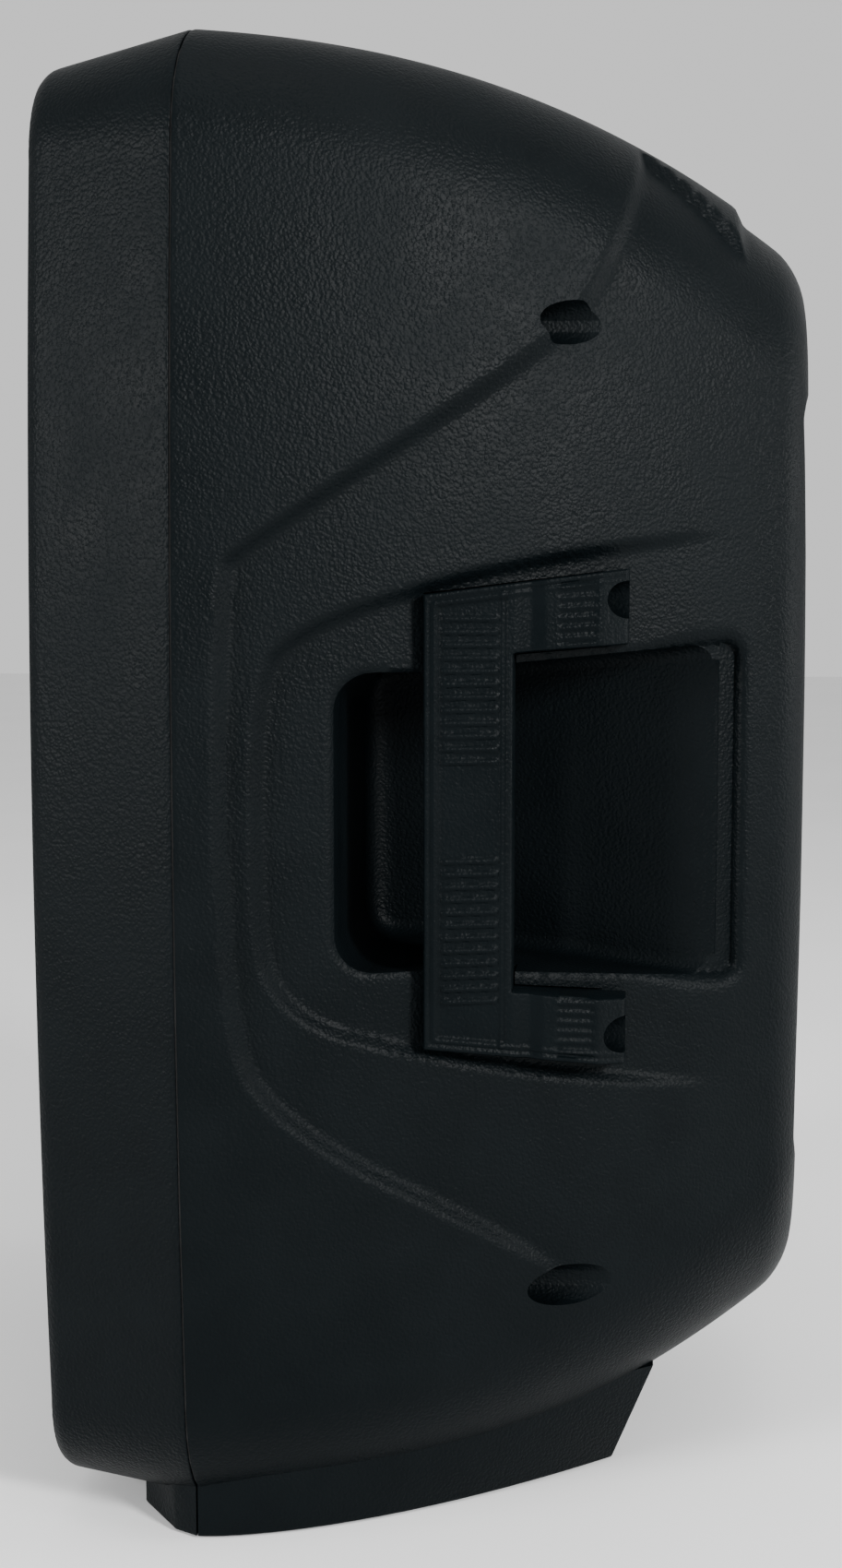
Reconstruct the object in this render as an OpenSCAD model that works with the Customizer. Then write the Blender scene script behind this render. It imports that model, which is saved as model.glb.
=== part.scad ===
// Portable two-way powered PA speaker: moulded two-piece cabinet with side and top handles,
// 12-inch woofer, horn with compression driver, rear amplifier module and pole cup.
// Millimetres, +Z up, front faces -Y, origin on the floor below the middle of the cabinet.

/* [Cabinet] */
// Height of the top of the cabinet above the floor
cab_top = 600; // [560:1:680]
// Depth from the front rim to the flat back
cab_depth = 308; // [300:1:370]
// Half the width at the seam, where the corner rounding begins
seam_w = 192; // [186:1:215]
// Half the width at the front rim
front_w = 168; // [164:1:185]
// Distance from the front rim back to the seam between the two shells
seam_setback = 64; // [60:1:76]
// Inward slope of the sides just behind the seam
slope_seam = 0.28; // [0.2:0.01:0.34]
// Inward slope of the sides at the back
slope_back = 0.60; // [0.45:0.01:0.66]
// How far the middle of each side bulges beyond its corners
side_bow = 16; // [6:1:20]
// Drop of the top, and rise of the bottom, towards the back
rear_drop = 71.5; // [50:0.5:80]
// Power of the curve that the top and bottom follow towards the back
drop_power = 2.34; // [1.6:0.02:3]
// Drop of the top at the front rim
front_drop = 12; // [4:1:16]
// Outline corner radius at the front rim
front_r = 42; // [30:1:50]
// Outline corner radius at the seam
seam_r = 56; // [40:1:64]
// Outline corner radius at the back
back_r = 76; // [50:1:80]
// Rounding of the front rim
front_round = 8; // [4:0.5:12]
// Rounding of the back edge
back_round = 13; // [8:0.5:16]
// Wall thickness of the moulded shells
wall = 4; // [3:0.25:5]
// Width of the groove between the two shells
seam_gap = 0.8; // [0.4:0.1:1.2]
// Height of the cabinet's bottom above the floor at the seam
belly_z = 8; // [6:0.5:14]

/* [Plinth] */
// Half the width of the plinth at its widest, on the seam
plinth_w = 173; // [165:1:180]
// Distance from the seam to the front end of the plinth
plinth_front = 28; // [20:1:40]
// Distance from the seam to the rear end of the plinth
plinth_rear = 165; // [150:1:175]
// Height that the rubber feet stand proud of the plinth
foot_proud = 1; // [0.5:0.5:3]

/* [Drivers] */
// Height of the woofer's axis
woofer_z = 180; // [178:1:186]
// Outer radius of the woofer's frame
woofer_r = 152.5; // [146:0.5:154]
// Radius of the woofer's hole in the baffle
woofer_hole_r = 141; // [138:0.5:142]
// Radius of the woofer's ferrite magnet
magnet_r = 72; // [60:1:74]
// Travel of the cone each way from rest
cone_travel = 6; // [3:0.5:8]
// Height of the horn's axis
horn_z = 474; // [466:1:478]
// Width of the horn's mouth
horn_mouth_w = 244; // [220:1:248]
// Height of the horn's mouth
horn_mouth_h = 148; // [130:1:150]
// Radius of the horn's throat
throat_r = 12.5; // [10:0.5:17]
// Inner radius of each port tube
port_r = 25; // [20:0.5:27]

/* [Handles] */
// Height of the middle of the side handles
grip_z = 291.5; // [286:0.5:300]
// Height of a side handle's grip bar
grip_h = 178; // [172:1:186]
// Width of the grip bar
grip_w = 34; // [28:1:36]
// Thickness of the grip bar
grip_t = 24; // [20:1:26]
// Height of the hand pocket
pocket_h = 118; // [108:1:126]
// Radius of the screw recesses in the sides
recess_r = 8.5; // [7:0.25:9.5]
// Height of the lower shell screws
screw_low_z = 99; // [96:1:104]
// Height of the upper shell screws
screw_high_z = 486.5; // [482:0.5:492]

/* [Amplifier] */
// Width of the amplifier panel
panel_w = 150; // [146:1:154]
// Height of the amplifier panel
panel_h = 330; // [320:1:334]
// Height of the middle of the panel
panel_z = 300; // [296:1:304]
// Depth of the well that the panel sits in
well_depth = 22; // [20:1:26]

/* [Pole cup] */
// Radius of the pole socket
pole_r = 17.9; // [17.6:0.1:18.2]
// Depth of the pole socket
pole_depth = 80; // [70:1:82]

/* [Hidden] */
$fn = 64;
eps = 0.01;

front_y = -cab_depth / 2;
back_y = cab_depth / 2;
seam_y = front_y + seam_setback;
rear_len = back_y - seam_y;

// Half width of the cabinet's sides at depth y, where the corner rounding begins.
function half_w(y) = y < seam_y
    ? seam_w + (front_w - seam_w) * (seam_y - y) / seam_setback
    : let(t = (y - seam_y) / rear_len)
        seam_w - rear_len * (slope_seam * t + (slope_back - slope_seam) * t * t / 2);
// Share of the top's and bottom's closing-in at depth y.
function closing(y) = y < seam_y ? 0 : pow((y - seam_y) / rear_len, drop_power);
function front_share(y) = y < seam_y ? (seam_y - y) / seam_setback : 0;
function top_z(y) = cab_top - rear_drop * closing(y) - front_drop * front_share(y);
function bottom_z(y) = y < seam_y
    ? belly_z + front_drop / 3 * front_share(y)
    : belly_z * (1 - (y - seam_y) / rear_len) + rear_drop * closing(y);
function corner_r(y) = y < seam_y
    ? seam_r + (front_r - seam_r) * front_share(y)
    : seam_r + (back_r - seam_r) * (y - seam_y) / rear_len;

arc_steps = 6;
side_steps = 6;
// Closed outline of the cabinet at depth y, drawn inset by d, as points [x, y_at, z].
function outline(y, d, y_at) = let(
        w = half_w(y) - d,
        zt = top_z(y) - d,
        zb = bottom_z(y) + d,
        r = max(corner_r(y) - d, 8),
        zm = (zt + zb) / 2,
        h = (zt - zb) / 2,
        quarter = [for (k = [0:arc_steps]) let(a = 90 - 90 * k / arc_steps)
            [w - r + r * cos(a), h - r + r * sin(a)]],
        side = [for (k = [1:side_steps - 1]) let(
            v = (h - r) * (1 - 2 * k / side_steps),
            f = (h - r) / h)
            [w + side_bow * (f * f - v * v / h / h), v]],
        low = [for (k = [arc_steps:-1:0]) [quarter[k].x, -quarter[k].y]],
        right = concat(quarter, side, low),
        n = len(right))
    concat([for (p = right) [p.x, y_at, zm + p.y]],
        [for (k = [n - 1:-1:0]) [-right[k].x, y_at, zm + right[k].y]]);

// Closed solid through a list of rings that have the same number of points.
module loft(rings) {
    n = len(rings[0]);
    m = len(rings);
    points = [for (r = rings) each r];
    sides = [for (j = [0:m - 2], i = [0:n - 1]) let(
        a = j * n + i, b = j * n + (i + 1) % n)
        each [[a, a + n, b], [b, a + n, b + n]]];
    polyhedron(points,
        concat(sides, [[for (i = [0:n - 1]) i]], [[for (i = [n - 1:-1:0]) (m - 1) * n + i]]),
        convexity = 8);
}

// Rings of the front half's outer skin, from the rounded rim to the seam.
module front_outer(y_end) {
    rim = [for (a = [90, 60, 30, 0])
        outline(front_y + front_round * (1 - sin(a)), front_round * (1 - cos(a)),
            front_y + front_round * (1 - sin(a)))];
    loft(concat(rim, [outline(y_end, 0, y_end)]));
}

rear_stations = [for (k = [1:7]) seam_y + (rear_len - back_round) * k / 7];
// Rings of the rear half's outer skin, from the seam to the rounded back edge.
module rear_outer(y_start) {
    edge = [for (a = [30, 60, 90]) let(y = back_y - back_round * (1 - sin(a)))
        outline(y, back_round * (1 - cos(a)), y)];
    loft(concat([outline(y_start, 0, y_start)], [for (y = rear_stations) outline(y, 0, y)], edge));
}
module rear_inner() loft(concat([outline(seam_y, wall, seam_y - 1)],
    [for (y = rear_stations) outline(y, wall, y)],
    [outline(back_y, wall + back_round, back_y - wall)]));
module front_inner() {
    loft([outline(front_y + front_round, wall, front_y - 1),
        outline(front_y + front_round, wall, front_y + front_round),
        outline(seam_y, wall, seam_y + 1)]);
}

// Plinth outline at height z, drawn inset by d: widest on the seam, drafted at the rear.
plinth_bow = 1.55;
plinth_draft = 0.42;
plinth_end_w = 80;
function plinth_ring(z, d) = let(
        y0 = seam_y - plinth_front + d,
        y1 = seam_y + plinth_rear + plinth_draft * z - d,
        w1 = plinth_w - d,
        steps = 8,
        front = [[w1 - plinth_front, y0], [w1 - 5, seam_y - 10]],
        rear = [for (k = [0:steps]) let(t = k / steps)
            [w1 - (w1 - plinth_end_w + d) * pow(t, plinth_bow), seam_y + (y1 - seam_y) * t]],
        right = concat(front, rear),
        n = len(right))
    concat([for (p = right) [p.x, p.y, z]],
        [for (k = [n - 1:-1:0]) [-right[k].x, right[k].y, z]]);
plinth_top = 44;
module plinth_outer() loft([plinth_ring(foot_proud, 0), plinth_ring(plinth_top, 0)]);
module plinth_inner() loft([plinth_ring(foot_proud + wall, wall), plinth_ring(plinth_top + 1, wall)]);

module behind(y) translate([-300, y, -50]) cube([600, 400, 800]);
module ahead(y) translate([-300, y - 400, -50]) cube([600, 400, 800]);

// Repeats its children on the right and, mirrored, on the left.
module both_sides() {
    children();
    mirror([1, 0, 0]) children();
}
// Cylinder along +Y that starts at p.
module rod_y(p, r, len) translate(p) rotate([-90, 0, 0]) cylinder(r = r, h = len);
// Ring along +Y that starts at p.
module ring_y(p, r_out, r_in, len) translate(p) rotate([-90, 0, 0]) difference() {
    cylinder(r = r_out, h = len);
    translate([0, 0, -1]) cylinder(r = r_in, h = len + 2);
}
// Turned piece about the line through p along +Y; its profile is [radius, distance] points.
module turned_y(p, profile) translate(p) rotate([-90, 0, 0]) rotate_extrude() polygon(profile);
// Rounded rectangle in the XZ plane, extruded along +Y from p.
module plate_y(p, w, h, r, t) translate([p.x, p.y + t, p.z]) rotate([90, 0, 0])
    linear_extrude(t) rounded(w, h, r);
module rounded(w, h, r) {
    square([w - 2 * r, h], center = true);
    square([w, h - 2 * r], center = true);
    for (x = [-1, 1], z = [-1, 1]) translate([x * (w / 2 - r), z * (h / 2 - r)]) circle(r = r);
}
// Pan-head screw along +Y whose head starts at p; the shank runs to the far end.
module screw_y(p, head_r, head_t, shank_r, len) {
    rod_y(p, head_r, head_t);
    rod_y([p.x, p.y + head_t - eps, p.z], shank_r, len);
}

// ---- Screw places that mating pieces share ----
boss_x = 136.3;
boss_r = 12;
shell_screw_len = 34;
shell_screw_seat = seam_y + 14;
shell_hole_r = 2.75;
pilot_r = 2.2;
screw_r = 2;
front_boss_len = 30;
module shell_screw_places() for (z = [screw_low_z, screw_high_z]) translate([boss_x, 0, z])
    children();

// ---- Baffle ----
baffle_y = front_y + 20;
baffle_t = 8;
gasket_t = 1;
woofer_screw_pcd_r = 146.5;
woofer_screw_count = 8;
port_x = 121;
port_z = 356;
horn_flange_border = 13;
horn_screw_inset = 6;
module woofer_screw_places() for (k = [0:woofer_screw_count - 1])
    let(a = 360 * (k + 0.5) / woofer_screw_count)
    translate([woofer_screw_pcd_r * cos(a), 0, woofer_z + woofer_screw_pcd_r * sin(a)]) children();
horn_flange_w = horn_mouth_w + 2 * horn_flange_border;
horn_flange_h = horn_mouth_h + 2 * horn_flange_border;
module horn_screw_places() for (x = [-1, 1], z = [-1, 0, 1])
    translate([x * (horn_flange_w / 2 - horn_screw_inset), 0,
        horn_z + z * (horn_flange_h / 2 - horn_screw_inset)]) children();
grille_t = 1.2;
grille_y = front_y + 3;
post_y = grille_y + grille_t + 0.1;
module grille_screw_places() for (p = [[126, 58], [104, 573]]) translate([p.x, 0, p.y]) children();

module front_shell() color([0.10, 0.11, 0.115]) difference() {
    union() {
        difference() {
            union() {
                front_outer(seam_y - seam_gap / 2);
                intersection() {
                    plinth_outer();
                    ahead(seam_y - seam_gap / 2);
                }
            }
            front_inner();
        }
        loft([outline(baffle_y, wall / 2, baffle_y),
            outline(baffle_y + baffle_t, wall / 2, baffle_y + baffle_t)]);
        both_sides() {
            shell_screw_places() rod_y([0, baffle_y + 1, 0], 10,
                seam_y - seam_gap / 2 - baffle_y - 1);
            grille_screw_places() rod_y([0, post_y, 0], 6, baffle_y + 1 - post_y);
        }
    }
    rod_y([0, baffle_y - 1, woofer_z], woofer_hole_r, baffle_t + 2);
    plate_y([0, baffle_y - 1, horn_z], horn_mouth_w + 4, horn_mouth_h + 4, 18, baffle_t + 2);
    woofer_screw_places() rod_y([0, baffle_y - 1, 0], pilot_r, baffle_t + 2);
    horn_screw_places() rod_y([0, baffle_y - 1, 0], pilot_r, baffle_t + 2);
    both_sides() {
        rod_y([port_x, baffle_y - 1, port_z], port_r + wall / 2 + 0.2, baffle_t + 2);
        shell_screw_places() rod_y([0, seam_y - front_boss_len, 0], pilot_r, front_boss_len + 1);
        grille_screw_places() rod_y([0, post_y - 1, 0], pilot_r, baffle_y + baffle_t - post_y + 2);
    }
}

// ---- Side handles: pocket, seats and grip ----
pocket_front = -33;
pocket_floor_x = 74;
pocket_step_x = 84;
pocket_far_y = 124;
pocket_far_x = 105;
pocket_lip = 190;
grip_y = 1.3;
arm_end_y = 76;
arm_h = 26;
arm_flare = 8;
grip_slope = 0.28;
grip_face_x = 168;
seat_clear = 0.3;
handle_screw_x = 139;
handle_screw_dz = 87;
handle_screw_r = 2.6;
handle_head_y = 62;

// Hand pocket in plan, drawn inset by d.
module pocket_plan(d) polygon([
    [pocket_lip, pocket_front + d], [pocket_floor_x + 12 + d, pocket_front + d],
    [pocket_floor_x + 3 + d, pocket_front + 3 + d], [pocket_floor_x + d, pocket_front + 12 + d],
    [pocket_floor_x + d, 0], [pocket_step_x + d, 22], [pocket_far_x + d, pocket_far_y],
    [pocket_lip, pocket_far_y]]);
module pocket_space(d) translate([0, 0, grip_z - pocket_h / 2 + d])
    linear_extrude(pocket_h - 2 * d) pocket_plan(d);

// The grip bar and its arms in plan; the arms run back to the screwed ends.
module bar_plan(d) polygon([
    [grip_face_x + d, grip_y - d], [grip_face_x - grip_slope * (grip_w + d) + d, grip_y + grip_w + d],
    [grip_face_x - grip_slope * grip_w - grip_t - d, grip_y + grip_w + d],
    [grip_face_x - grip_t - d, grip_y - d]]);
module arm_plan(d) polygon([
    [grip_face_x + d, grip_y - d],
    [grip_face_x - grip_slope * (arm_end_y - grip_y) + d, arm_end_y],
    [grip_face_x - grip_slope * (arm_end_y - grip_y) - 8 - d, arm_end_y + 4 + d],
    [handle_screw_x - 11 - d, arm_end_y + 4 + d], [handle_screw_x - 11 - d, grip_y - d]]);
// The whole C-shaped handle, grown by d.
module handle_body(d) {
    translate([0, 0, grip_z - grip_h / 2 - d]) linear_extrude(grip_h + 2 * d) bar_plan(d);
    for (s = [-1, 1]) translate([0, 0, grip_z + s * (grip_h / 2 - arm_h / 2 + arm_flare / 2)])
        linear_extrude(arm_h + arm_flare + 2 * d, center = true) arm_plan(d);
}

module side_handle_right() color([0.08, 0.085, 0.09]) difference() {
    handle_body(0);
    for (s = [-1, 1]) translate([handle_screw_x, 0, grip_z + s * handle_screw_dz]) {
        rod_y([0, grip_y - 1, 0], handle_screw_r + 0.3, 100);
        rod_y([0, handle_head_y, 0], 7.5, 40);
    }
}
module side_handle_left() mirror([1, 0, 0]) side_handle_right();

// ---- Top handle ----
top_pocket_w = 144;
top_pocket_y0 = -28;
top_pocket_y1 = 44;
top_pocket_depth = 50;
top_bar_w = 32;
top_bar_t = 24;
top_bar_y = (top_pocket_y0 + top_pocket_y1) / 2;
top_bar_z = top_z(top_bar_y) - 3 - top_bar_t / 2;
top_floor_z = top_z(top_bar_y) - top_pocket_depth;
top_seat_w = 14;
top_screw_x = top_pocket_w / 2 - 7;

module top_pocket_space(d) translate([-top_pocket_w / 2 + d, top_pocket_y0 + d, top_floor_z + d])
    cube([top_pocket_w - 2 * d, top_pocket_y1 - top_pocket_y0 - 2 * d, 200]);
module top_seats() for (s = [-1, 1])
    translate([s * (top_pocket_w / 2 - top_seat_w / 2), top_bar_y,
        (top_floor_z + top_bar_z - top_bar_t / 2) / 2 - 1])
        cube([top_seat_w + 1, top_bar_w - 4, top_bar_z - top_bar_t / 2 - top_floor_z + 2],
            center = true);
module top_handle() color([0.08, 0.085, 0.09]) difference() {
    translate([-top_pocket_w / 2 + seat_clear, top_bar_y, top_bar_z]) rotate([90, 0, 90])
        linear_extrude(top_pocket_w - 2 * seat_clear) rounded(top_bar_w, top_bar_t, 9);
    for (s = [-1, 1]) translate([s * top_screw_x, top_bar_y, top_bar_z - top_bar_t]) {
        cylinder(r = screw_r + 0.4, h = 60);
        translate([0, 0, top_bar_t + 4]) cylinder(r = 4.5, h = 40);
    }
}
top_screw_len = 26;
module top_handle_screws() color([0.3, 0.3, 0.31]) for (s = [-1, 1])
    translate([s * top_screw_x, top_bar_y, top_bar_z + 4 - top_screw_len]) {
        cylinder(r = screw_r, h = top_screw_len + eps);
        translate([0, 0, top_screw_len]) cylinder(r = 4, h = 3);
    }

// ---- Amplifier well in the back ----
well_clear = 1;
well_y = back_y - well_depth;
well_floor_t = 5;
panel_t = 3;
panel_r = 14;
panel_lip = 9;
panel_gasket_t = 1;
panel_y = well_y + panel_gasket_t;
panel_face = panel_y + panel_t;
module panel_screw_places() for (x = [-1, 1], z = [-1, -1 / 3, 1 / 3, 1])
    translate([x * (panel_w / 2 - 4.5), 0, panel_z + z * (panel_h / 2 - 10)]) children();

// ---- Pole cup ----
pole_y = -5;
pole_wall = 3.5;
pole_flange_r = 34;
pole_flange_t = 4;
pole_screw_r = 28;
module pole_screw_places() for (a = [45:90:315])
    translate([pole_screw_r * cos(a), pole_y + pole_screw_r * sin(a), 0]) children();

pad_r = 14;
pad_t = 5;
module foot_places() for (x = [-1, 1], p = [[146, seam_y + 20], [66, seam_y + plinth_rear - 24]])
    translate([x * p.x, p.y, 0]) children();

// Blocks that stay solid inside the rear shell: pocket walls, seats, bosses and the well.
module rear_blocks() {
    both_sides() {
        pocket_space(-wall);
        for (s = [-1, 1]) translate([0, 0, grip_z + s * (grip_h / 2 - arm_h / 2 + arm_flare / 2)])
            linear_extrude(arm_h + arm_flare + 2 * wall, center = true) polygon([
                [pocket_lip, grip_y - 26], [handle_screw_x - 15, grip_y - 26],
                [handle_screw_x - 15, arm_end_y + 40], [pocket_lip, arm_end_y + 40]]);
        shell_screw_places() rod_y([0, seam_y - 5, 0], boss_r, 200);
    }
    top_pocket_space(-wall);
    plate_y([0, well_y - well_floor_t, panel_z], panel_w + 2 * wall + 2, panel_h + 2 * wall + 2,
        panel_r + wall, 60);
    translate([0, pole_y, -1]) cylinder(r = pole_flange_r + 1, h = plinth_top * 0.5);
}

module rear_shell() color([0.10, 0.11, 0.115]) difference() {
    union() {
        rear_outer(seam_y + seam_gap / 2);
        intersection() {
            plinth_outer();
            behind(seam_y + seam_gap / 2);
        }
    }
    difference() {
        union() {
            rear_inner();
            intersection() {
                plinth_inner();
                behind(seam_y - 1);
            }
        }
        rear_blocks();
    }
    both_sides() {
        pocket_space(0);
        handle_body(seat_clear);
        for (s = [-1, 1]) rod_y([handle_screw_x, grip_y - 22, grip_z + s * handle_screw_dz],
            pilot_r + 0.4, 30);
        shell_screw_places() {
            rod_y([0, seam_y - 6, 0], shell_hole_r, 40);
            rod_y([0, shell_screw_seat, 0], recess_r, 300);
        }
    }
    difference() {
        top_pocket_space(0);
        top_seats();
    }
    for (s = [-1, 1]) translate([s * top_screw_x, top_bar_y, top_floor_z + 4])
        cylinder(r = pilot_r, h = 100);
    plate_y([0, well_y, panel_z], panel_w + well_clear, panel_h + well_clear, panel_r, 60);
    plate_y([0, well_y - 20, panel_z], panel_w - 2 * panel_lip, panel_h - 2 * panel_lip,
        panel_r - panel_lip / 2, 60);
    panel_screw_places() rod_y([0, well_y - well_floor_t - 4, 0], pilot_r - 0.7, 40);
    translate([0, pole_y, -10]) {
        cylinder(r = pole_r + pole_wall + 0.2, h = 80);
        cylinder(r = pole_flange_r + 0.2, h = 10 + foot_proud + pole_flange_t);
    }
    pole_screw_places() cylinder(r = pilot_r - 0.4, h = 18);
    foot_places() translate([0, 0, -1]) cylinder(r = pad_r + 0.1, h = 1 + pad_t - 1);
}

module shell_gasket() color([0.05, 0.05, 0.05]) difference() {
    loft([outline(seam_y, 1.6, seam_y - seam_gap / 2), outline(seam_y, 1.6, seam_y + seam_gap / 2)]);
    loft([outline(seam_y, wall - 0.4, seam_y - 3), outline(seam_y, wall - 0.4, seam_y + 3)]);
}
module shell_screws() color([0.25, 0.25, 0.26]) both_sides() shell_screw_places() {
    rod_y([0, shell_screw_seat, 0], 5, 3.5);
    rod_y([0, shell_screw_seat - shell_screw_len, 0], screw_r, shell_screw_len + eps);
}
module handle_screws() color([0.25, 0.25, 0.26]) both_sides() for (s = [-1, 1])
    translate([handle_screw_x, 0, grip_z + s * handle_screw_dz]) {
        rod_y([0, handle_head_y, 0], 5, 3.5);
        rod_y([0, grip_y - 18, 0], handle_screw_r, handle_head_y - grip_y + 18 + eps);
    }

// ---- Grille ----
grille_gap = 1;
module grille() color([0.06, 0.06, 0.065]) difference() {
    loft([outline(front_y + front_round, wall + grille_gap, grille_y),
        outline(front_y + front_round, wall + grille_gap, grille_y + 7)]);
    loft([outline(front_y + front_round, wall + grille_gap + grille_t, grille_y + grille_t),
        outline(front_y + front_round, wall + grille_gap + grille_t, grille_y + 8)]);
    both_sides() grille_screw_places() rod_y([0, grille_y - 1, 0], screw_r + 0.3, 5);
}
module grille_foam() color([0.03, 0.03, 0.03]) difference() {
    loft([outline(front_y + front_round, wall + grille_gap + 3, grille_y + grille_t + 0.2),
        outline(front_y + front_round, wall + grille_gap + 3, grille_y + grille_t + 2.2)]);
    both_sides() grille_screw_places() rod_y([0, grille_y - 1, 0], 7, 12);
}
module grille_screws() color([0.1, 0.1, 0.1]) both_sides() grille_screw_places() {
    rod_y([0, grille_y - 2, 0], 3.6, 2);
    rod_y([0, grille_y - eps, 0], screw_r, 12);
}

// ---- Woofer ----
flange_t = 4;
flange_y = baffle_y - gasket_t - flange_t;
basket_depth = 92;
basket_back_y = flange_y + basket_depth;
basket_neck_r = 74;
basket_neck_len = 4;
basket_wall = 2.5;
basket_lip = 6;
spider_ledge = 24;
spider_slope = 3;
window_w = 38;
window_len = 44;
window_start = 16;
top_plate_t = 8;
coil_overhang = 2;
coil_room = 12;
magnet_t = cone_travel + coil_overhang + coil_room;
back_plate_t = 8;
coil_r = 38;
pole_piece_r = 36.5;
window_count = 8;
spider_y = basket_back_y - 26;

module woofer_basket() color([0.12, 0.12, 0.12]) difference() {
    turned_y([0, flange_y, woofer_z], [[woofer_hole_r - basket_lip, 0], [woofer_r, 0],
        [woofer_r, flange_t], [woofer_hole_r - 2, flange_t],
        [basket_neck_r, basket_depth - basket_neck_len], [basket_neck_r, basket_depth],
        [coil_r + 8, basket_depth], [coil_r + 8, basket_depth - basket_wall],
        [basket_neck_r - 3, basket_depth - basket_wall],
        [basket_neck_r - 3, basket_depth - spider_ledge],
        [basket_neck_r + 2, basket_depth - spider_ledge - spider_slope],
        [woofer_hole_r - basket_lip, flange_t]]);
    for (k = [0:window_count - 1]) translate([0, 0, woofer_z])
        rotate([0, 360 * (k + 0.5) / window_count, 0])
        translate([basket_neck_r + 12, flange_y + window_start, -window_w / 2])
        cube([90, window_len, window_w]);
    woofer_screw_places() rod_y([0, flange_y - 1, 0], screw_r + 0.4, flange_t + 2);
}
module woofer_gasket() color([0.05, 0.05, 0.05]) difference() {
    ring_y([0, flange_y + flange_t, woofer_z], woofer_r, woofer_hole_r + 0.5, gasket_t);
    woofer_screw_places() rod_y([0, flange_y, 0], screw_r + 0.4, 20);
}
module woofer_screws() color([0.1, 0.1, 0.1]) woofer_screw_places()
    screw_y([0, flange_y - 3, 0], 4.2, 3, screw_r, 14);
module woofer_top_plate() color([0.2, 0.2, 0.21])
    ring_y([0, basket_back_y, woofer_z], magnet_r - 4, coil_r + 1.4, top_plate_t);
module woofer_magnet() color([0.15, 0.15, 0.16])
    ring_y([0, basket_back_y + top_plate_t, woofer_z], magnet_r, coil_r + 8, magnet_t);
module woofer_yoke() color([0.2, 0.2, 0.21]) difference() {
    union() {
        rod_y([0, basket_back_y + top_plate_t + magnet_t, woofer_z], magnet_r - 4, back_plate_t);
        rod_y([0, basket_back_y, woofer_z], pole_piece_r, top_plate_t + magnet_t + eps);
    }
    rod_y([0, basket_back_y - 1, woofer_z], 10, 100);
}
cone_front_r = 118;
cone_y = flange_y + 1;
cone_depth = 52;
module woofer_cone() color([0.07, 0.07, 0.07]) turned_y([0, cone_y, woofer_z],
    [[cone_front_r - 1, 0], [cone_front_r + 1, 0], [cone_front_r + 1, 1.2], [coil_r + 0.2, cone_depth],
        [coil_r + 0.2, cone_depth - 2]]);
module woofer_dust_cap() color([0.05, 0.05, 0.05]) turned_y([0, cone_y + 18.6, woofer_z],
    [[0, 0], [24, 3], [44, 12], [54, 20.4], [53, 21], [43, 13.2], [23.5, 4.2], [0, 1.2]]);
module woofer_voice_coil() color([0.6, 0.35, 0.2])
    ring_y([0, cone_y + cone_depth - 4, woofer_z], coil_r, coil_r - 0.8,
        basket_back_y + top_plate_t + coil_overhang - cone_y - cone_depth + 4);
surround_out_r = woofer_hole_r - 6.3;
module woofer_surround() color([0.04, 0.04, 0.04]) {
    mid_r = (surround_out_r + cone_front_r + 1.3) / 2;
    roll_r = (surround_out_r - cone_front_r - 1.3) / 2;
    translate([0, cone_y, woofer_z]) rotate([90, 0, 0]) rotate_extrude() translate([mid_r, 0])
        intersection() {
            difference() {
                circle(r = roll_r);
                circle(r = roll_r - 1.2);
            }
            translate([-20, -0.2]) square([40, 20]);
        }
}
module woofer_spider() color([0.55, 0.4, 0.2])
    ring_y([0, spider_y, woofer_z], basket_neck_r - 3.2, coil_r + 0.3, 1.5);

// ---- Horn ----
horn_flange_t = 4;
horn_y = baffle_y - horn_flange_t;
horn_depth = 82;
horn_steps = 7;
horn_wall = 3;
horn_sides = 48;
// Horn section t of the way from mouth (0) to throat (1), grown by d, as a ring of points.
function horn_ring(t, d) = let(
        grow = pow(1 - t, 1.6),
        a = throat_r + (horn_mouth_w / 2 - throat_r) * grow + d,
        b = throat_r + (horn_mouth_h / 2 - throat_r) * grow + d,
        p = 2 / (2 + 3 * grow))
    [for (k = [0:horn_sides - 1]) let(u = 360 * k / horn_sides)
        [a * sign(cos(u)) * pow(abs(cos(u)), p), horn_y + horn_depth * t,
            horn_z + b * sign(sin(u)) * pow(abs(sin(u)), p)]];
module horn_flare() color([0.07, 0.07, 0.075]) difference() {
    union() {
        plate_y([0, horn_y, horn_z], horn_flange_w, horn_flange_h, 16, horn_flange_t);
        loft([for (j = [horn_steps:-1:0]) horn_ring(j / horn_steps, j == 0 ? 0.5 : horn_wall)]);
        rod_y([0, horn_y + horn_depth - 5, horn_z], 32, 5);
    }
    loft([for (j = [horn_steps:-1:0]) let(r = horn_ring(j / horn_steps, 0))
        j == 0 ? [for (q = r) [q.x, horn_y - 0.5, q.z]]
        : j == horn_steps ? [for (q = r) [q.x, horn_y + horn_depth + 0.5, q.z]] : r]);
    horn_screw_places() rod_y([0, horn_y - 1, 0], screw_r + 0.4, horn_flange_t + 2);
}
module horn_screws() color([0.1, 0.1, 0.1]) horn_screw_places()
    screw_y([0, horn_y - 3, 0], 4.2, 3, screw_r, 12);
hf_y = horn_y + horn_depth;
hf_body_r = 40;
hf_body_t = 18;
hf_magnet_r = 46;
hf_magnet_t = 18;
module hf_driver_body() color([0.12, 0.12, 0.13])
    ring_y([0, hf_y, horn_z], hf_body_r, throat_r, hf_body_t);
module hf_magnet() color([0.16, 0.16, 0.17])
    ring_y([0, hf_y + hf_body_t, horn_z], hf_magnet_r, throat_r + 3.5, hf_magnet_t);
hf_cap_y = hf_y + hf_body_t + hf_magnet_t;
hf_cap_t = 14;
hf_cap_wall = 3;
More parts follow.
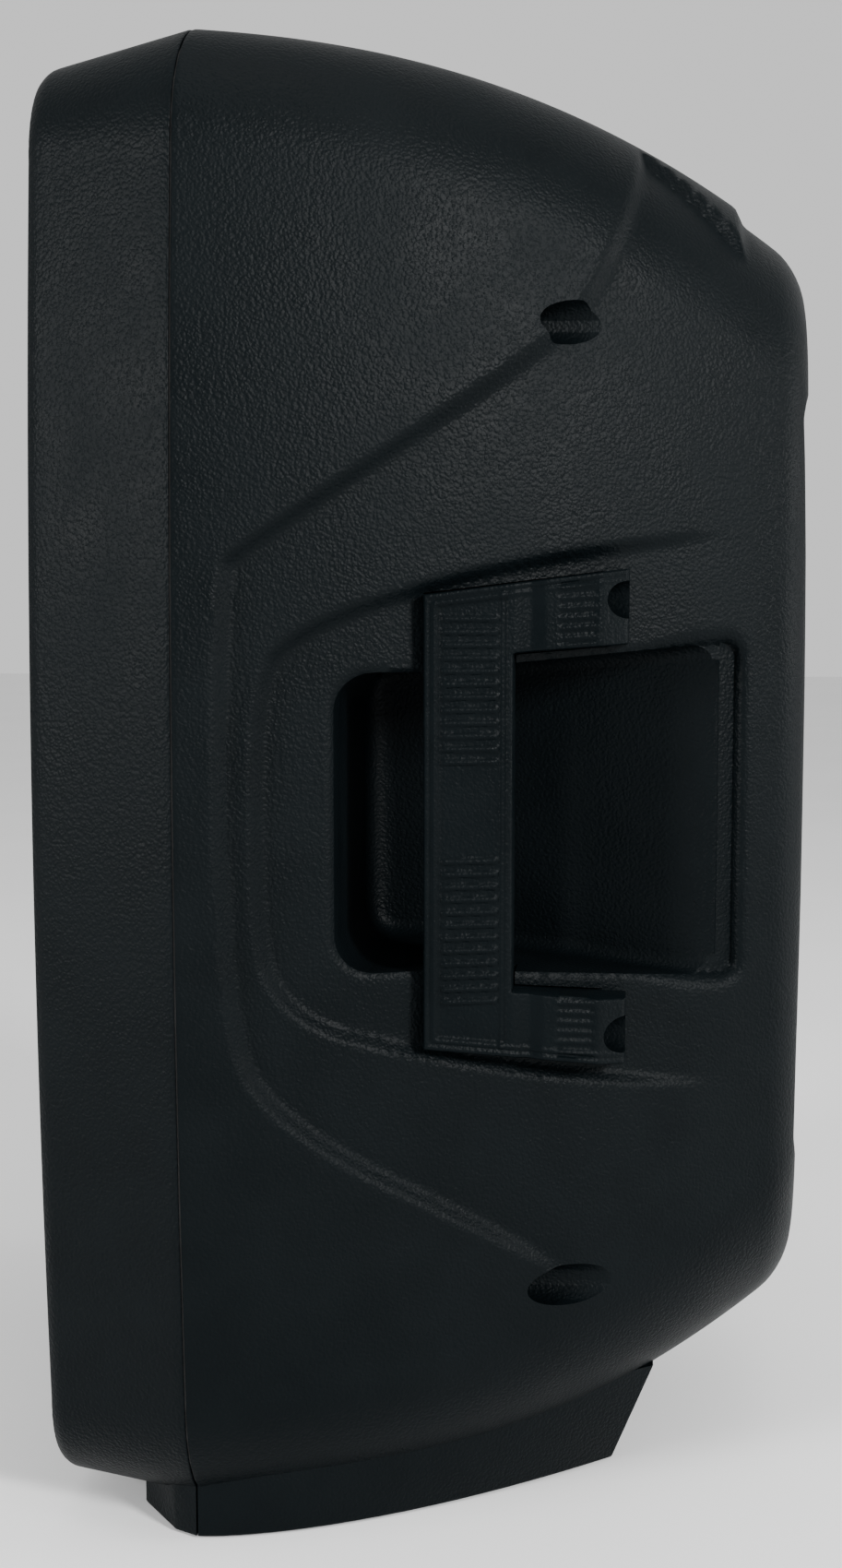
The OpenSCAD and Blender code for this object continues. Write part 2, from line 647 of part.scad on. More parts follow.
module hf_rear_cap() color([0.1, 0.1, 0.11]) turned_y([0, hf_cap_y, horn_z], [[30, 0], [42, 0],
    [42, hf_cap_t], [0, hf_cap_t], [0, hf_cap_t - hf_cap_wall], [30, hf_cap_t - hf_cap_wall]]);
// Domed diaphragm with its flat rim, seated on the back of the magnet.
module hf_diaphragm() color([0.75, 0.76, 0.78]) turned_y([0, hf_cap_y, horn_z], [[18, 0], [28, 0],
    [28, 0.5], [22, 0.5], [15, 5], [0, 7], [0, 6.4], [14.6, 4.4]]);

port_len = 92;
module port_tubes() color([0.08, 0.08, 0.085]) both_sides() {
    ring_y([port_x, baffle_y - 2, port_z], port_r + wall / 2, port_r, port_len);
    ring_y([port_x, baffle_y - 2, port_z], port_r + 6, port_r, 1.8);
}

// ---- Amplifier panel and what it carries ----
panel_margin = 14;
row_gap = 12;
sink_w = 120;
sink_h = panel_h / 5;
sink_z = panel_z + panel_h / 2 - panel_margin - sink_h / 2;
led_z = sink_z - sink_h / 2 - 9;
knob_z = led_z - 20;
jack_x = 34;
jack_z = knob_z - 46;
jack_w = 27;
jack_h = 32;
jack_hole_r = 11.5;
link_z = jack_z - jack_h - row_gap;
knob_x = 42;
knob_r = 8;
knob_len = 12;
shaft_r = 3;
button_z = link_z;
button_x = 46;
mains_frame_h = 33;
mains_z = panel_z - panel_h / 2 + panel_margin + mains_frame_h;
rocker_x = 40;
inlet_x = -22;
knob_places = [-knob_x, knob_x, 0];
led_places = [[-8, led_z], [8, led_z]];

module amp_panel() color([0.09, 0.09, 0.095]) difference() {
    plate_y([0, panel_y, panel_z], panel_w, panel_h, panel_r - 1, panel_t);
    for (x = [-jack_x, jack_x]) {
        rod_y([x, panel_y - 1, jack_z], jack_hole_r + 0.8, 10);
        translate([x - 3.6, panel_y - 1, jack_z + 9]) cube([7.2, 10, 5.4]);
    }
    rod_y([0, panel_y - 1, link_z], jack_hole_r + 0.8, 10);
    for (x = knob_places) rod_y([x, panel_y - 1, knob_z], 4, 10);
    for (p = led_places) rod_y([p.x, panel_y - 1, p.y], 2.1, 10);
    plate_y([button_x, panel_y - 1, button_z], 10.4, 10.4, 1.2, 10);
    plate_y([rocker_x, panel_y - 1, mains_z], 21.4, 29.4, 1.2, 10);
    plate_y([inlet_x, panel_y - 1, mains_z], 47.4, 27.4, 3.2, 10);
    panel_screw_places() rod_y([0, panel_y - 1, 0], screw_r - 0.2, 10);
}
module panel_gasket() color([0.04, 0.04, 0.04]) difference() {
    plate_y([0, well_y, panel_z], panel_w - 0.6, panel_h - 0.6, panel_r - 1, panel_gasket_t);
    plate_y([0, well_y - 1, panel_z], panel_w - 2 * panel_lip + 1, panel_h - 2 * panel_lip + 1,
        panel_r - panel_lip / 2, 4);
    panel_screw_places() rod_y([0, well_y - 1, 0], screw_r - 0.2, 10);
}
panel_screw_r = 1.4;
module panel_screws() color([0.1, 0.1, 0.1]) panel_screw_places() {
    rod_y([0, panel_face, 0], 3.4, 2.2);
    rod_y([0, panel_face - 9, 0], panel_screw_r, 9 + eps);
}
fin_count = 15;
fin_t = 2;
module heat_sink() color([0.08, 0.08, 0.08]) {
    plate_y([0, panel_face, sink_z], sink_w, sink_h, 1.5, 4);
    for (k = [0:fin_count - 1])
        translate([-sink_w / 2 + (sink_w - fin_t) * k / (fin_count - 1), panel_face + 4 - eps,
            sink_z - sink_h / 2]) cube([fin_t, 12, sink_h]);
}
board_y = panel_y - 52;
board_t = 1.6;
board_w = 110;
board_h = 200;
board_z = panel_z + 18;
module amp_board() color([0.05, 0.25, 0.12]) plate_y([0, board_y, board_z], board_w, board_h, 2, board_t);
module board_standoff_places() for (x = [-1, 1], z = [-1, 1])
    translate([x * (board_w / 2 - 6), 0, board_z + z * (board_h / 2 - 6)]) children();
module board_standoffs() color([0.7, 0.65, 0.4]) board_standoff_places()
    rod_y([0, board_y + board_t, 0], 3, panel_y - board_y - board_t);
transformer_r = 34;
module power_transformer() color([0.25, 0.22, 0.12])
    rod_y([0, board_y + board_t, board_z + board_h / 2 - transformer_r - 6], transformer_r, 32);
module input_jacks() color([0.07, 0.07, 0.07]) for (x = [-jack_x, jack_x]) difference() {
    union() {
        plate_y([x, panel_face, jack_z], jack_w, jack_h, 3, 2.5);
        rod_y([x, panel_face - 26, jack_z], jack_hole_r, 26 + eps);
    }
    ring_y([x, panel_face - 22, jack_z], 9, 4.5, 40);
    rod_y([x, panel_face - 22, jack_z], 3.2, 40);
    translate([x - 3.3, panel_face - 6, jack_z + 9.3]) cube([6.6, 20, 5]);
}
module jack_latch(x) color([0.5, 0.5, 0.5]) translate([x - 3, panel_face - 4, jack_z + 9.6])
    cube([6, 8, 4.2]);
module jack_latch_a() jack_latch(-jack_x);
module jack_latch_b() jack_latch(jack_x);
module link_output() color([0.07, 0.07, 0.07]) difference() {
    union() {
        plate_y([0, panel_face, link_z], jack_w, jack_h, 3, 2.5);
        rod_y([0, panel_face - 20, link_z], jack_hole_r, 20 + eps);
    }
    difference() {
        rod_y([0, panel_face - 16, link_z], 9, 40);
        for (a = [90, 210, 330]) rod_y([4.5 * cos(a), panel_face - 17, link_z + 4.5 * sin(a)], 1.2, 15);
    }
}
shaft_clear = 0.05;
module knob(x) color([0.12, 0.12, 0.12]) difference() {
    rod_y([x, panel_face + 1, knob_z], knob_r, knob_len);
    rod_y([x, panel_face, knob_z], shaft_r + shaft_clear, 9);
    translate([x - 0.6, panel_face + knob_len, knob_z + 2]) cube([1.2, 4, knob_r]);
}
module gain_knob_a() knob(-knob_x);
module gain_knob_b() knob(knob_x);
module master_knob() knob(0);
module potentiometers() color([0.5, 0.5, 0.52]) for (x = knob_places) {
    rod_y([x, panel_y - 8, knob_z], 7.5, 8);
    rod_y([x, panel_y - eps, knob_z], shaft_r, panel_t + 1 + 8);
}
module voicing_button() color([0.3, 0.3, 0.3])
    plate_y([button_x, panel_y - 6, button_z], 10, 10, 1, panel_t + 6 + 4);
module led_lenses() color([0.2, 0.8, 0.3]) for (p = led_places) {
    rod_y([p.x, panel_y - 3, p.y], 2, panel_t + 4);
}
rocker_tilt = 7;
module rocker_frame() color([0.06, 0.06, 0.06]) difference() {
    union() {
        plate_y([rocker_x, panel_face, mains_z], 25, mains_frame_h, 2, 1.6);
        plate_y([rocker_x, panel_face - 18, mains_z], 21, 29, 1, 18 + eps);
    }
    plate_y([rocker_x, panel_face - 12, mains_z], 14.6, 24.6, 0.5, 20);
    translate([rocker_x - 9, panel_face - 3, mains_z]) rotate([0, 90, 0]) cylinder(r = 1.6, h = 18);
}
module power_rocker() color([0.5, 0.08, 0.06])
    translate([rocker_x, panel_face - 3, mains_z]) rotate([rocker_tilt, 0, 0]) {
        translate([-7, 0, 0]) rotate([90, 0, 90]) linear_extrude(14)
            polygon([[-4, -5], [3, -11.4], [4.4, -11.4], [3.2, 0], [4.4, 11.4], [3, 11.4], [-4, 5]]);
        translate([-8.8, 0, 0]) rotate([0, 90, 0]) cylinder(r = 1.55, h = 17.6);
    }
module inlet_socket() color([0.06, 0.06, 0.06]) difference() {
    union() {
        plate_y([inlet_x, panel_face, mains_z], 52, 32, 4, 2);
        plate_y([inlet_x, panel_face - 24, mains_z], 47, 27, 3, 24 + eps);
    }
    difference() {
        plate_y([inlet_x + 6, panel_face - 16, mains_z], 26, 18, 4, 40);
        for (x = [-7, 0, 7]) plate_y([inlet_x + 6 + x, panel_face - 17, mains_z + (x == 0 ? 3 : -1)],
            2, 6, 0.4, 12);
    }
    plate_y([inlet_x - 17, panel_face - 18, mains_z], 8.6, 20.6, 0.5, 40);
}
module fuse_drawer() color([0.1, 0.1, 0.1])
    plate_y([inlet_x - 17, panel_face - 17.7, mains_z], 8, 20, 0.5, 17.7 + 2.6);

// ---- Base ----
module pole_cup() color([0.07, 0.07, 0.075]) translate([0, pole_y, foot_proud]) difference() {
    union() {
        cylinder(r = pole_flange_r, h = pole_flange_t);
        cylinder(r = pole_r + pole_wall, h = pole_depth + pole_wall);
    }
    translate([0, 0, -1]) cylinder(r = pole_r, h = pole_depth + 1);
    translate([0, -pole_y, -1]) pole_screw_places() cylinder(r = screw_r + 0.3, h = 8);
}
module pole_cup_screws() color([0.3, 0.3, 0.31]) pole_screw_places()
    translate([0, 0, foot_proud + pole_flange_t - 3.2]) {
        cylinder(r = screw_r - 0.3, h = 13);
    }
module rubber_feet() color([0.04, 0.04, 0.04]) foot_places() cylinder(r = pad_r, h = pad_t - 1);

// ---- Inside the cabinet ----
lining_t = 18;
lining_side_gap = 40.64;
lining_w = 2 * (half_w(back_y) - lining_side_gap);
lining_h = 24;
lining_off = panel_h / 2 + wall + 5 + lining_h / 2;
module acoustic_lining() color([0.75, 0.75, 0.7]) for (s = [-1, 1])
    translate([-lining_w / 2, back_y - wall - seat_clear - lining_t,
        panel_z + s * lining_off - lining_h / 2]) cube([lining_w, lining_t, lining_h]);

// Insulated lead through the points of path.
module lead(path, r) for (k = [0:len(path) - 2]) {
    a = path[k];
    b = path[k + 1];
    d = b - a;
    translate(a) rotate([0, acos(d.z / norm(d)), atan2(d.y, d.x)]) cylinder(r = r, h = norm(d));
    translate(b) sphere(r = r * 1.2);
}
lead_r = 1.6;
module woofer_leads() color([0.6, 0.1, 0.1])
    lead([[40, board_y - lead_r, 240], [60, 40, 205], [84, 0, 188],
        [basket_neck_r + 2 * lead_r, basket_back_y - 2, woofer_z]], lead_r);
module hf_leads() color([0.1, 0.1, 0.6])
    lead([[20, board_y - lead_r, 400], [24, 50, 425],
        [20, hf_cap_y + hf_cap_t + 1.3 * lead_r, 460]], lead_r);

front_shell();
rear_shell();
shell_gasket();
shell_screws();
grille();
grille_foam();
grille_screws();
woofer_basket();
woofer_gasket();
woofer_top_plate();
woofer_magnet();
woofer_yoke();
woofer_cone();
woofer_dust_cap();
woofer_voice_coil();
woofer_surround();
woofer_spider();
woofer_screws();
horn_flare();
horn_screws();
hf_driver_body();
hf_magnet();
hf_diaphragm();
hf_rear_cap();
port_tubes();
amp_panel();
panel_gasket();
panel_screws();
heat_sink();
amp_board();
board_standoffs();
power_transformer();
input_jacks();
jack_latch_a();
jack_latch_b();
link_output();
gain_knob_a();
gain_knob_b();
master_knob();
potentiometers();
voicing_button();
led_lenses();
power_rocker();
rocker_frame();
inlet_socket();
fuse_drawer();
side_handle_right();
side_handle_left();
handle_screws();
top_handle();
top_handle_screws();
pole_cup();
pole_cup_screws();
rubber_feet();
acoustic_lining();
woofer_leads();
hf_leads();
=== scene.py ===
"""Looks of a powered two-way PA speaker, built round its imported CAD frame.
Sizes are in millimetres until a mesh is made; +Z is up and the front faces -Y."""
import math

import bmesh
import bpy
import numpy as np
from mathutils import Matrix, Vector


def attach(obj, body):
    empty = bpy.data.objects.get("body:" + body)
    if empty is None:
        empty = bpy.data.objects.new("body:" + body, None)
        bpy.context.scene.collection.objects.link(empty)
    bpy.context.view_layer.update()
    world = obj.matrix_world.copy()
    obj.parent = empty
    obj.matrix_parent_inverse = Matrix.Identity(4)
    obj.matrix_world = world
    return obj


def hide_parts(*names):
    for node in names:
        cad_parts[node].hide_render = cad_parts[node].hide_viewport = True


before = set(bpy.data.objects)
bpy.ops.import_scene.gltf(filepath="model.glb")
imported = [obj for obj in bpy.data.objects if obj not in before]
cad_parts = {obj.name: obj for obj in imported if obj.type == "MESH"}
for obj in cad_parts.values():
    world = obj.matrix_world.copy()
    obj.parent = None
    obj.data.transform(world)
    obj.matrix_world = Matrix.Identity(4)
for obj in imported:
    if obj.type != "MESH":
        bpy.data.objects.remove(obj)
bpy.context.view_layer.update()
MM = 0.001

# ---- Sizes of the cabinet, as in the CAD ----
CAB_TOP, FRONT_Y, BACK_Y, SEAM_Y, REAR_LEN, SEAM_SETBACK = 600, -154, 154, -90, 244, 64
SEAM_W, FRONT_W, SLOPE_SEAM, SLOPE_BACK, SIDE_BOW = 192, 168, 0.28, 0.60, 16
REAR_DROP, DROP_POWER, FRONT_DROP, BELLY_Z = 71.5, 2.34, 12, 8
FRONT_R, SEAM_R, BACK_R, FRONT_ROUND, BACK_ROUND = 42, 56, 76, 8, 13
WALL, SEAM_GAP = 4, 0.8
PLINTH_W, PLINTH_FRONT, PLINTH_REAR, PLINTH_END_W, PLINTH_TOP = 173, 28, 165, 80, 44
PLINTH_BOW, PLINTH_DRAFT, FOOT_PROUD = 1.55, 0.42, 1
BAFFLE_Y, BAFFLE_T = -134, 8
GRIP_Z, GRIP_Y, GRIP_W, GRIP_SLOPE, GRIP_FACE_X, GRIP_T = 291.5, 1.3, 34, 0.28, 168, 24
GRIP_H, ARM_END_Y, ARM_INNER_X = 178, 80, 128
HANDLE_SCREW_X, HANDLE_SCREW_DZ, HANDLE_HEAD_Y = 139, 87, 62
BOSS_X, RECESS_R, SCREW_LOW_Z, SCREW_HIGH_Z, RECESS_Y = 136.3, 8.5, 99, 486.5, -76
WELL_Y, PANEL_W, PANEL_H, PANEL_Z, PANEL_FACE = 132, 150, 330, 300, 136


def smooth_step(t):
    t = np.clip(t, 0, 1)
    return t * t * (3 - 2 * t)


def closing(y):
    return ((y - SEAM_Y) / REAR_LEN) ** DROP_POWER if y > SEAM_Y else 0.0


def front_share(y):
    return (SEAM_Y - y) / SEAM_SETBACK if y < SEAM_Y else 0.0


def half_w(y):
    if y < SEAM_Y:
        return SEAM_W + (FRONT_W - SEAM_W) * front_share(y)
    t = (y - SEAM_Y) / REAR_LEN
    return SEAM_W - REAR_LEN * (SLOPE_SEAM * t + (SLOPE_BACK - SLOPE_SEAM) * t * t / 2)


def top_z(y):
    return CAB_TOP - REAR_DROP * closing(y) - FRONT_DROP * front_share(y)


def bottom_z(y):
    if y < SEAM_Y:
        return BELLY_Z + FRONT_DROP / 3 * front_share(y)
    return BELLY_Z * (1 - (y - SEAM_Y) / REAR_LEN) + REAR_DROP * closing(y)


def corner_r(y):
    if y < SEAM_Y:
        return SEAM_R + (FRONT_R - SEAM_R) * front_share(y)
    return SEAM_R + (BACK_R - SEAM_R) * (y - SEAM_Y) / REAR_LEN


def outline(y, inset=0.0, y_at=None, flat=8, arc=10, side=40):
    """Closed outline of the cabinet at depth y as rows of [x, y_at, z], clockwise from the top's middle."""
    w, zt, zb = half_w(y) - inset, top_z(y) - inset, bottom_z(y) + inset
    r, mid, h = max(corner_r(y) - inset, 8), (zt + zb) / 2, (zt - zb) / 2
    a = np.linspace(math.pi / 2, 0, arc + 1)
    top = np.column_stack([np.linspace(0, w - r, flat + 1)[:-1], np.full(flat, h)])
    corner = np.column_stack([w - r + r * np.cos(a), h - r + r * np.sin(a)])
    v = np.linspace(h - r, r - h, side + 1)[1:-1]
    f = (h - r) / h
    face = np.column_stack([w + SIDE_BOW * (f * f - v * v / h / h), v])
    upper = np.vstack([top, corner])
    right = np.vstack([upper, face, upper[::-1] * [1, -1]])
    left = right[1:-1][::-1] * [-1, 1]
    ring = np.vstack([right, left])
    return np.column_stack([ring[:, 0], np.full(len(ring), y if y_at is None else y_at), mid + ring[:, 1]])


# ---- Mesh helpers ----
def new_object(name, points, faces):
    mesh = bpy.data.meshes.new(name)
    mesh.from_pydata((np.asarray(points, float) * MM).tolist(), [], [list(map(int, f)) for f in faces])
    mesh.validate()
    obj = bpy.data.objects.new(name, mesh)
    bpy.context.scene.collection.objects.link(obj)
    return obj


def tube_faces(rings, count, closed=True):
    """Quads between consecutive rings, with an n-gon at each end."""
    i = np.arange(count)
    j = (i + 1) % count
    quads = [np.column_stack([i + k * count, j + k * count, j + (k + 1) * count, i + (k + 1) * count])
             for k in range(rings - 1)]
    faces = np.vstack(quads).tolist()
    if closed:
        faces += [i[::-1].tolist(), (i + (rings - 1) * count).tolist()]
    return faces


def loft(name, rings):
    """Closed solid through rings that have the same number of points."""
    obj = new_object(name, np.vstack(rings), tube_faces(len(rings), len(rings[0])))
    outward(obj)
    return obj


def outward(obj):
    """Turns every face of a closed mesh outwards."""
    bm = bmesh.new()
    bm.from_mesh(obj.data)
    bmesh.ops.recalc_face_normals(bm, faces=bm.faces)
    if bm.calc_volume(signed=True) < 0:
        bmesh.ops.reverse_faces(bm, faces=bm.faces)
    bm.to_mesh(obj.data)
    bm.free()


AXIS_ORDER = {"X": (2, 0, 1), "Y": (0, 2, 1), "Z": (0, 1, 2)}


def rod(name, start, radius, length, axis="Y", sides=40):
    """Closed cylinder from start along +axis."""
    a = np.arange(sides) * 2 * math.pi / sides
    u, v = radius * np.cos(a), radius * np.sin(a)
    ends = [np.column_stack([u, v, np.full(sides, t)])[:, AXIS_ORDER[axis]] for t in (0.0, length)]
    return loft(name, [end + np.array(start, float) for end in ends])


def rounded_prism(name, centre, w, h, r, length, corner=8):
    """Closed prism along +Y with a rounded w by h outline, starting at centre."""
    a = np.linspace(0, math.pi / 2, corner + 1)
    quarter = np.column_stack([w / 2 - r + r * np.cos(a), h / 2 - r + r * np.sin(a)])
    ring = np.vstack([quarter, quarter[::-1] * [-1, 1], -quarter, quarter[::-1] * [1, -1]])
    rows = [np.column_stack([ring[:, 0], np.full(len(ring), t), ring[:, 1]]) + np.array(centre, float)
            for t in (0, length)]
    return loft(name, rows)


def lathe(name, centre, profile, sides=48, axis="Y"):
    """Closed turned solid through [radius, distance along the axis] pairs, both ends near the axis."""
    a = np.arange(sides) * 2 * math.pi / sides
    rings = [np.column_stack([r * np.cos(a), r * np.sin(a), np.full(sides, t)])[:, AXIS_ORDER[axis]]
             + np.array(centre, float) for r, t in profile]
    return loft(name, rings)


def combine(obj, others, operation="DIFFERENCE"):
    """Cuts, joins or meets obj with the other solids, which are used up."""
    for other in others:
        step = obj.modifiers.new("combine", "BOOLEAN")
        step.operation, step.solver, step.object = operation, "MANIFOLD", other
    graph = bpy.context.evaluated_depsgraph_get()
    mesh = bpy.data.meshes.new_from_object(obj.evaluated_get(graph))
    obj.modifiers.clear()
    obj.data = mesh
    for other in others:
        bpy.data.objects.remove(other)
    return obj


def mirrored(obj, name):
    """A copy of obj on the other side of the middle plane."""
    twin = bpy.data.objects.new(name, obj.data.copy())
    bpy.context.scene.collection.objects.link(twin)
    points = np.zeros(len(twin.data.vertices) * 3)
    twin.data.vertices.foreach_get("co", points)
    points[0::3] *= -1
    twin.data.vertices.foreach_set("co", points)
    twin.data.flip_normals()
    return twin


def dress(obj, material, body="cabinet", sharp=32, hides=()):
    """Gives a piece its material, smooth shading and body, and hides the CAD parts it stands in for."""
    obj.data.materials.clear()
    obj.data.materials.append(material)
    obj.data.shade_smooth()
    obj.data.set_sharp_from_angle(angle=math.radians(sharp))
    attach(obj, body)
    if hides:
        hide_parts(*hides)
    return obj


# ---- Materials ----
def finish_of(name, dark, light, rough=(0.4, 0.5), mottle=60, relief=(), metallic=0.0, specular=0.5,
              coat=0.0, sheen=0.0, stretch=(1, 1, 1)):
    """Procedural material: colour and roughness vary with a noise, and each relief is
    (kind, scale per metre, depth in mm, strength)."""
    made = bpy.data.materials.new(name)
    made.use_nodes = True
    nodes, links = made.node_tree.nodes, made.node_tree.links
    shader = nodes["Principled BSDF"]
    shader.inputs["Metallic"].default_value = metallic
    shader.inputs["Specular IOR Level"].default_value = specular
    shader.inputs["Coat Weight"].default_value = coat
    shader.inputs["Sheen Weight"].default_value = sheen
    place = nodes.new("ShaderNodeTexCoord")
    scaled = nodes.new("ShaderNodeMapping")
    scaled.inputs["Scale"].default_value = stretch
    links.new(place.outputs["Object"], scaled.inputs["Vector"])
    spots = nodes.new("ShaderNodeTexNoise")
    spots.inputs["Scale"].default_value = mottle
    spots.inputs["Detail"].default_value = 4
    links.new(scaled.outputs["Vector"], spots.inputs["Vector"])
    tint = nodes.new("ShaderNodeValToRGB")
    tint.color_ramp.elements[0].position, tint.color_ramp.elements[1].position = 0.3, 0.7
    tint.color_ramp.elements[0].color = (*dark, 1)
    tint.color_ramp.elements[1].color = (*light, 1)
    links.new(spots.outputs["Fac"], tint.inputs["Fac"])
    links.new(tint.outputs["Color"], shader.inputs["Base Color"])
    gloss = nodes.new("ShaderNodeMapRange")
    gloss.inputs["From Min"].default_value, gloss.inputs["From Max"].default_value = 0.3, 0.7
    gloss.inputs["To Min"].default_value, gloss.inputs["To Max"].default_value = rough
    links.new(spots.outputs["Fac"], gloss.inputs["Value"])
    links.new(gloss.outputs["Result"], shader.inputs["Roughness"])
    last = None
    for kind, scale, depth, strength in relief:
        if kind == "wrinkle":
            warp = nodes.new("ShaderNodeTexNoise")
            warp.inputs["Scale"].default_value = scale * 0.6
            warp.inputs["Detail"].default_value = 2
            links.new(scaled.outputs["Vector"], warp.inputs["Vector"])
            moved = nodes.new("ShaderNodeMix")
            moved.data_type = "VECTOR"
            moved.inputs["Factor"].default_value = 0.0016
            links.new(scaled.outputs["Vector"], moved.inputs["A"])
            links.new(warp.outputs["Color"], moved.inputs["B"])
            cells = nodes.new("ShaderNodeTexVoronoi")
            cells.feature = "SMOOTH_F1"
            cells.inputs["Scale"].default_value = scale
            cells.inputs["Smoothness"].default_value = 0.6
            links.new(moved.outputs["Result"], cells.inputs["Vector"])
            height = cells.outputs["Distance"]
        elif kind == "rings":
            wave = nodes.new("ShaderNodeTexWave")
            wave.inputs["Scale"].default_value = scale
            links.new(scaled.outputs["Vector"], wave.inputs["Vector"])
            height = wave.outputs["Fac"]
        else:
            grain = nodes.new("ShaderNodeTexNoise")
            grain.inputs["Scale"].default_value = scale
            grain.inputs["Detail"].default_value = 3
            links.new(scaled.outputs["Vector"], grain.inputs["Vector"])
            height = grain.outputs["Fac"]
        bump = nodes.new("ShaderNodeBump")
        bump.inputs["Distance"].default_value = depth * MM
        bump.inputs["Strength"].default_value = strength
        bump.invert = kind == "wrinkle"
        links.new(height, bump.inputs["Height"])
        if last:
            links.new(last.outputs["Normal"], bump.inputs["Normal"])
        last = bump
    if last:
        links.new(last.outputs["Normal"], shader.inputs["Normal"])
    return made


BLACK, TINT = (0.0012, 0.0022, 0.0027), (0.0018, 0.0030, 0.0036)
shell_plastic = finish_of("shell_plastic", BLACK, TINT, (0.40, 0.50), 30,
                          [("wrinkle", 760, 0.30, 0.9), ("noise", 1500, 0.09, 0.8)], specular=0.045)
handle_plastic = finish_of("grip_plastic", BLACK, TINT, (0.36, 0.46), 40,
                           [("wrinkle", 760, 0.24, 0.8), ("noise", 1500, 0.06, 0.8)], specular=0.032)
smooth_plastic = finish_of("smooth_plastic", (0.010, 0.011, 0.012), (0.016, 0.017, 0.018), (0.32, 0.42), 80,
                           [("noise", 1500, 0.01, 0.4)], specular=0.25)
horn_plastic = finish_of("horn_plastic", (0.012, 0.012, 0.013), (0.018, 0.018, 0.019), (0.35, 0.45), 50,
                         [("noise", 1200, 0.02, 0.5)])
painted_steel = finish_of("painted_steel", (0.004, 0.0045, 0.005), (0.007, 0.0075, 0.008), (0.42, 0.55), 90,
                          [("noise", 2200, 0.02, 0.7)], specular=0.22)
panel_paint = finish_of("panel_paint", (0.006, 0.007, 0.008), (0.010, 0.011, 0.012), (0.42, 0.52), 70,
                        [("noise", 2600, 0.03, 0.8)], specular=0.25)
anodised = finish_of("black_anodised", (0.012, 0.012, 0.013), (0.022, 0.022, 0.024), (0.30, 0.42), 40,
                     [("noise", 900, 0.01, 0.5)], metallic=0.7, stretch=(4, 4, 0.3))
zinc = finish_of("zinc_plate", (0.24, 0.25, 0.26), (0.36, 0.37, 0.38), (0.28, 0.42), 300,
                 [("noise", 1800, 0.01, 0.5)], metallic=1.0)
black_screw = finish_of("black_screw", (0.018, 0.018, 0.019), (0.032, 0.032, 0.034), (0.28, 0.42), 400,
                        [("noise", 2500, 0.01, 0.6)], metallic=0.85)
ferrite = finish_of("ferrite_ceramic", (0.035, 0.035, 0.037), (0.055, 0.055, 0.058), (0.6, 0.75), 120,
                    [("noise", 1400, 0.05, 0.8)])
foam_grey = finish_of("open_cell_foam", (0.010, 0.010, 0.011), (0.024, 0.024, 0.026), (0.85, 0.95), 700,
                      [("wrinkle", 900, 0.35, 1.0), ("noise", 2400, 0.1, 0.9)], sheen=0.15)
wadding = finish_of("polyester_wadding", (0.52, 0.51, 0.47), (0.70, 0.69, 0.65), (0.85, 0.95), 120,
                    [("noise", 260, 0.9, 0.9), ("noise", 1300, 0.3, 0.9)], sheen=0.3, stretch=(1, 1, 3))
paper = finish_of("pressed_paper", (0.016, 0.016, 0.017), (0.030, 0.029, 0.028), (0.6, 0.78), 150,
                  [("noise", 700, 0.12, 0.8), ("noise", 2600, 0.04, 0.8)])
rubber = finish_of("black_rubber", (0.012, 0.012, 0.012), (0.020, 0.020, 0.020), (0.55, 0.7), 90,
                   [("noise", 1600, 0.03, 0.6)])
spider_cloth = finish_of("spider_weave", (0.32, 0.20, 0.08), (0.45, 0.30, 0.13), (0.75, 0.85), 300,
                         [("noise", 3000, 0.08, 0.9)])
copper = finish_of("enamelled_copper", (0.52, 0.20, 0.07), (0.70, 0.30, 0.12), (0.22, 0.34), 500,
                   [("rings", 1500, 0.05, 0.6)], metallic=1.0)
titanium = finish_of("titanium_foil", (0.55, 0.54, 0.52), (0.68, 0.67, 0.65), (0.2, 0.32), 200,
                     [("noise", 1500, 0.01, 0.5)], metallic=1.0)
driver_cast = finish_of("cast_black", (0.020, 0.020, 0.021), (0.032, 0.032, 0.034), (0.42, 0.56), 120,
                        [("noise", 1300, 0.05, 0.7)], metallic=0.4)
board = finish_of("green_board", (0.010, 0.075, 0.032), (0.016, 0.11, 0.05), (0.28, 0.42), 160,
                  [("noise", 1800, 0.02, 0.5)])
brass = finish_of("plated_brass", (0.62, 0.46, 0.20), (0.75, 0.58, 0.28), (0.2, 0.34), 200,
                  [("noise", 1600, 0.01, 0.5)], metallic=1.0)
transformer_wrap = finish_of("varnished_winding", (0.10, 0.055, 0.02), (0.19, 0.11, 0.045),
                             (0.35, 0.5), 220, [("rings", 700, 0.12, 0.7)])
socket_plastic = finish_of("socket_nylon", (0.010, 0.010, 0.011), (0.017, 0.017, 0.018), (0.36, 0.46), 140,
                           [("noise", 1700, 0.02, 0.6)], specular=0.2)
latch_metal = finish_of("latch_steel", (0.40, 0.41, 0.42), (0.55, 0.56, 0.57), (0.25, 0.4), 300,
                        [("noise", 1500, 0.01, 0.5)], metallic=1.0)
rocker_red = finish_of("rocker_red", (0.26, 0.004, 0.003), (0.36, 0.008, 0.006), (0.28, 0.38), 150,
                       [("noise", 1200, 0.01, 0.4)], specular=0.25)
lens_green = finish_of("lens_green", (0.03, 0.30, 0.06), (0.05, 0.42, 0.09), (0.12, 0.2), 300,
                       [("noise", 1500, 0.01, 0.3)])
lead_red = finish_of("lead_red", (0.36, 0.02, 0.02), (0.48, 0.035, 0.03), (0.4, 0.5), 250,
                     [("noise", 1500, 0.03, 0.6)])
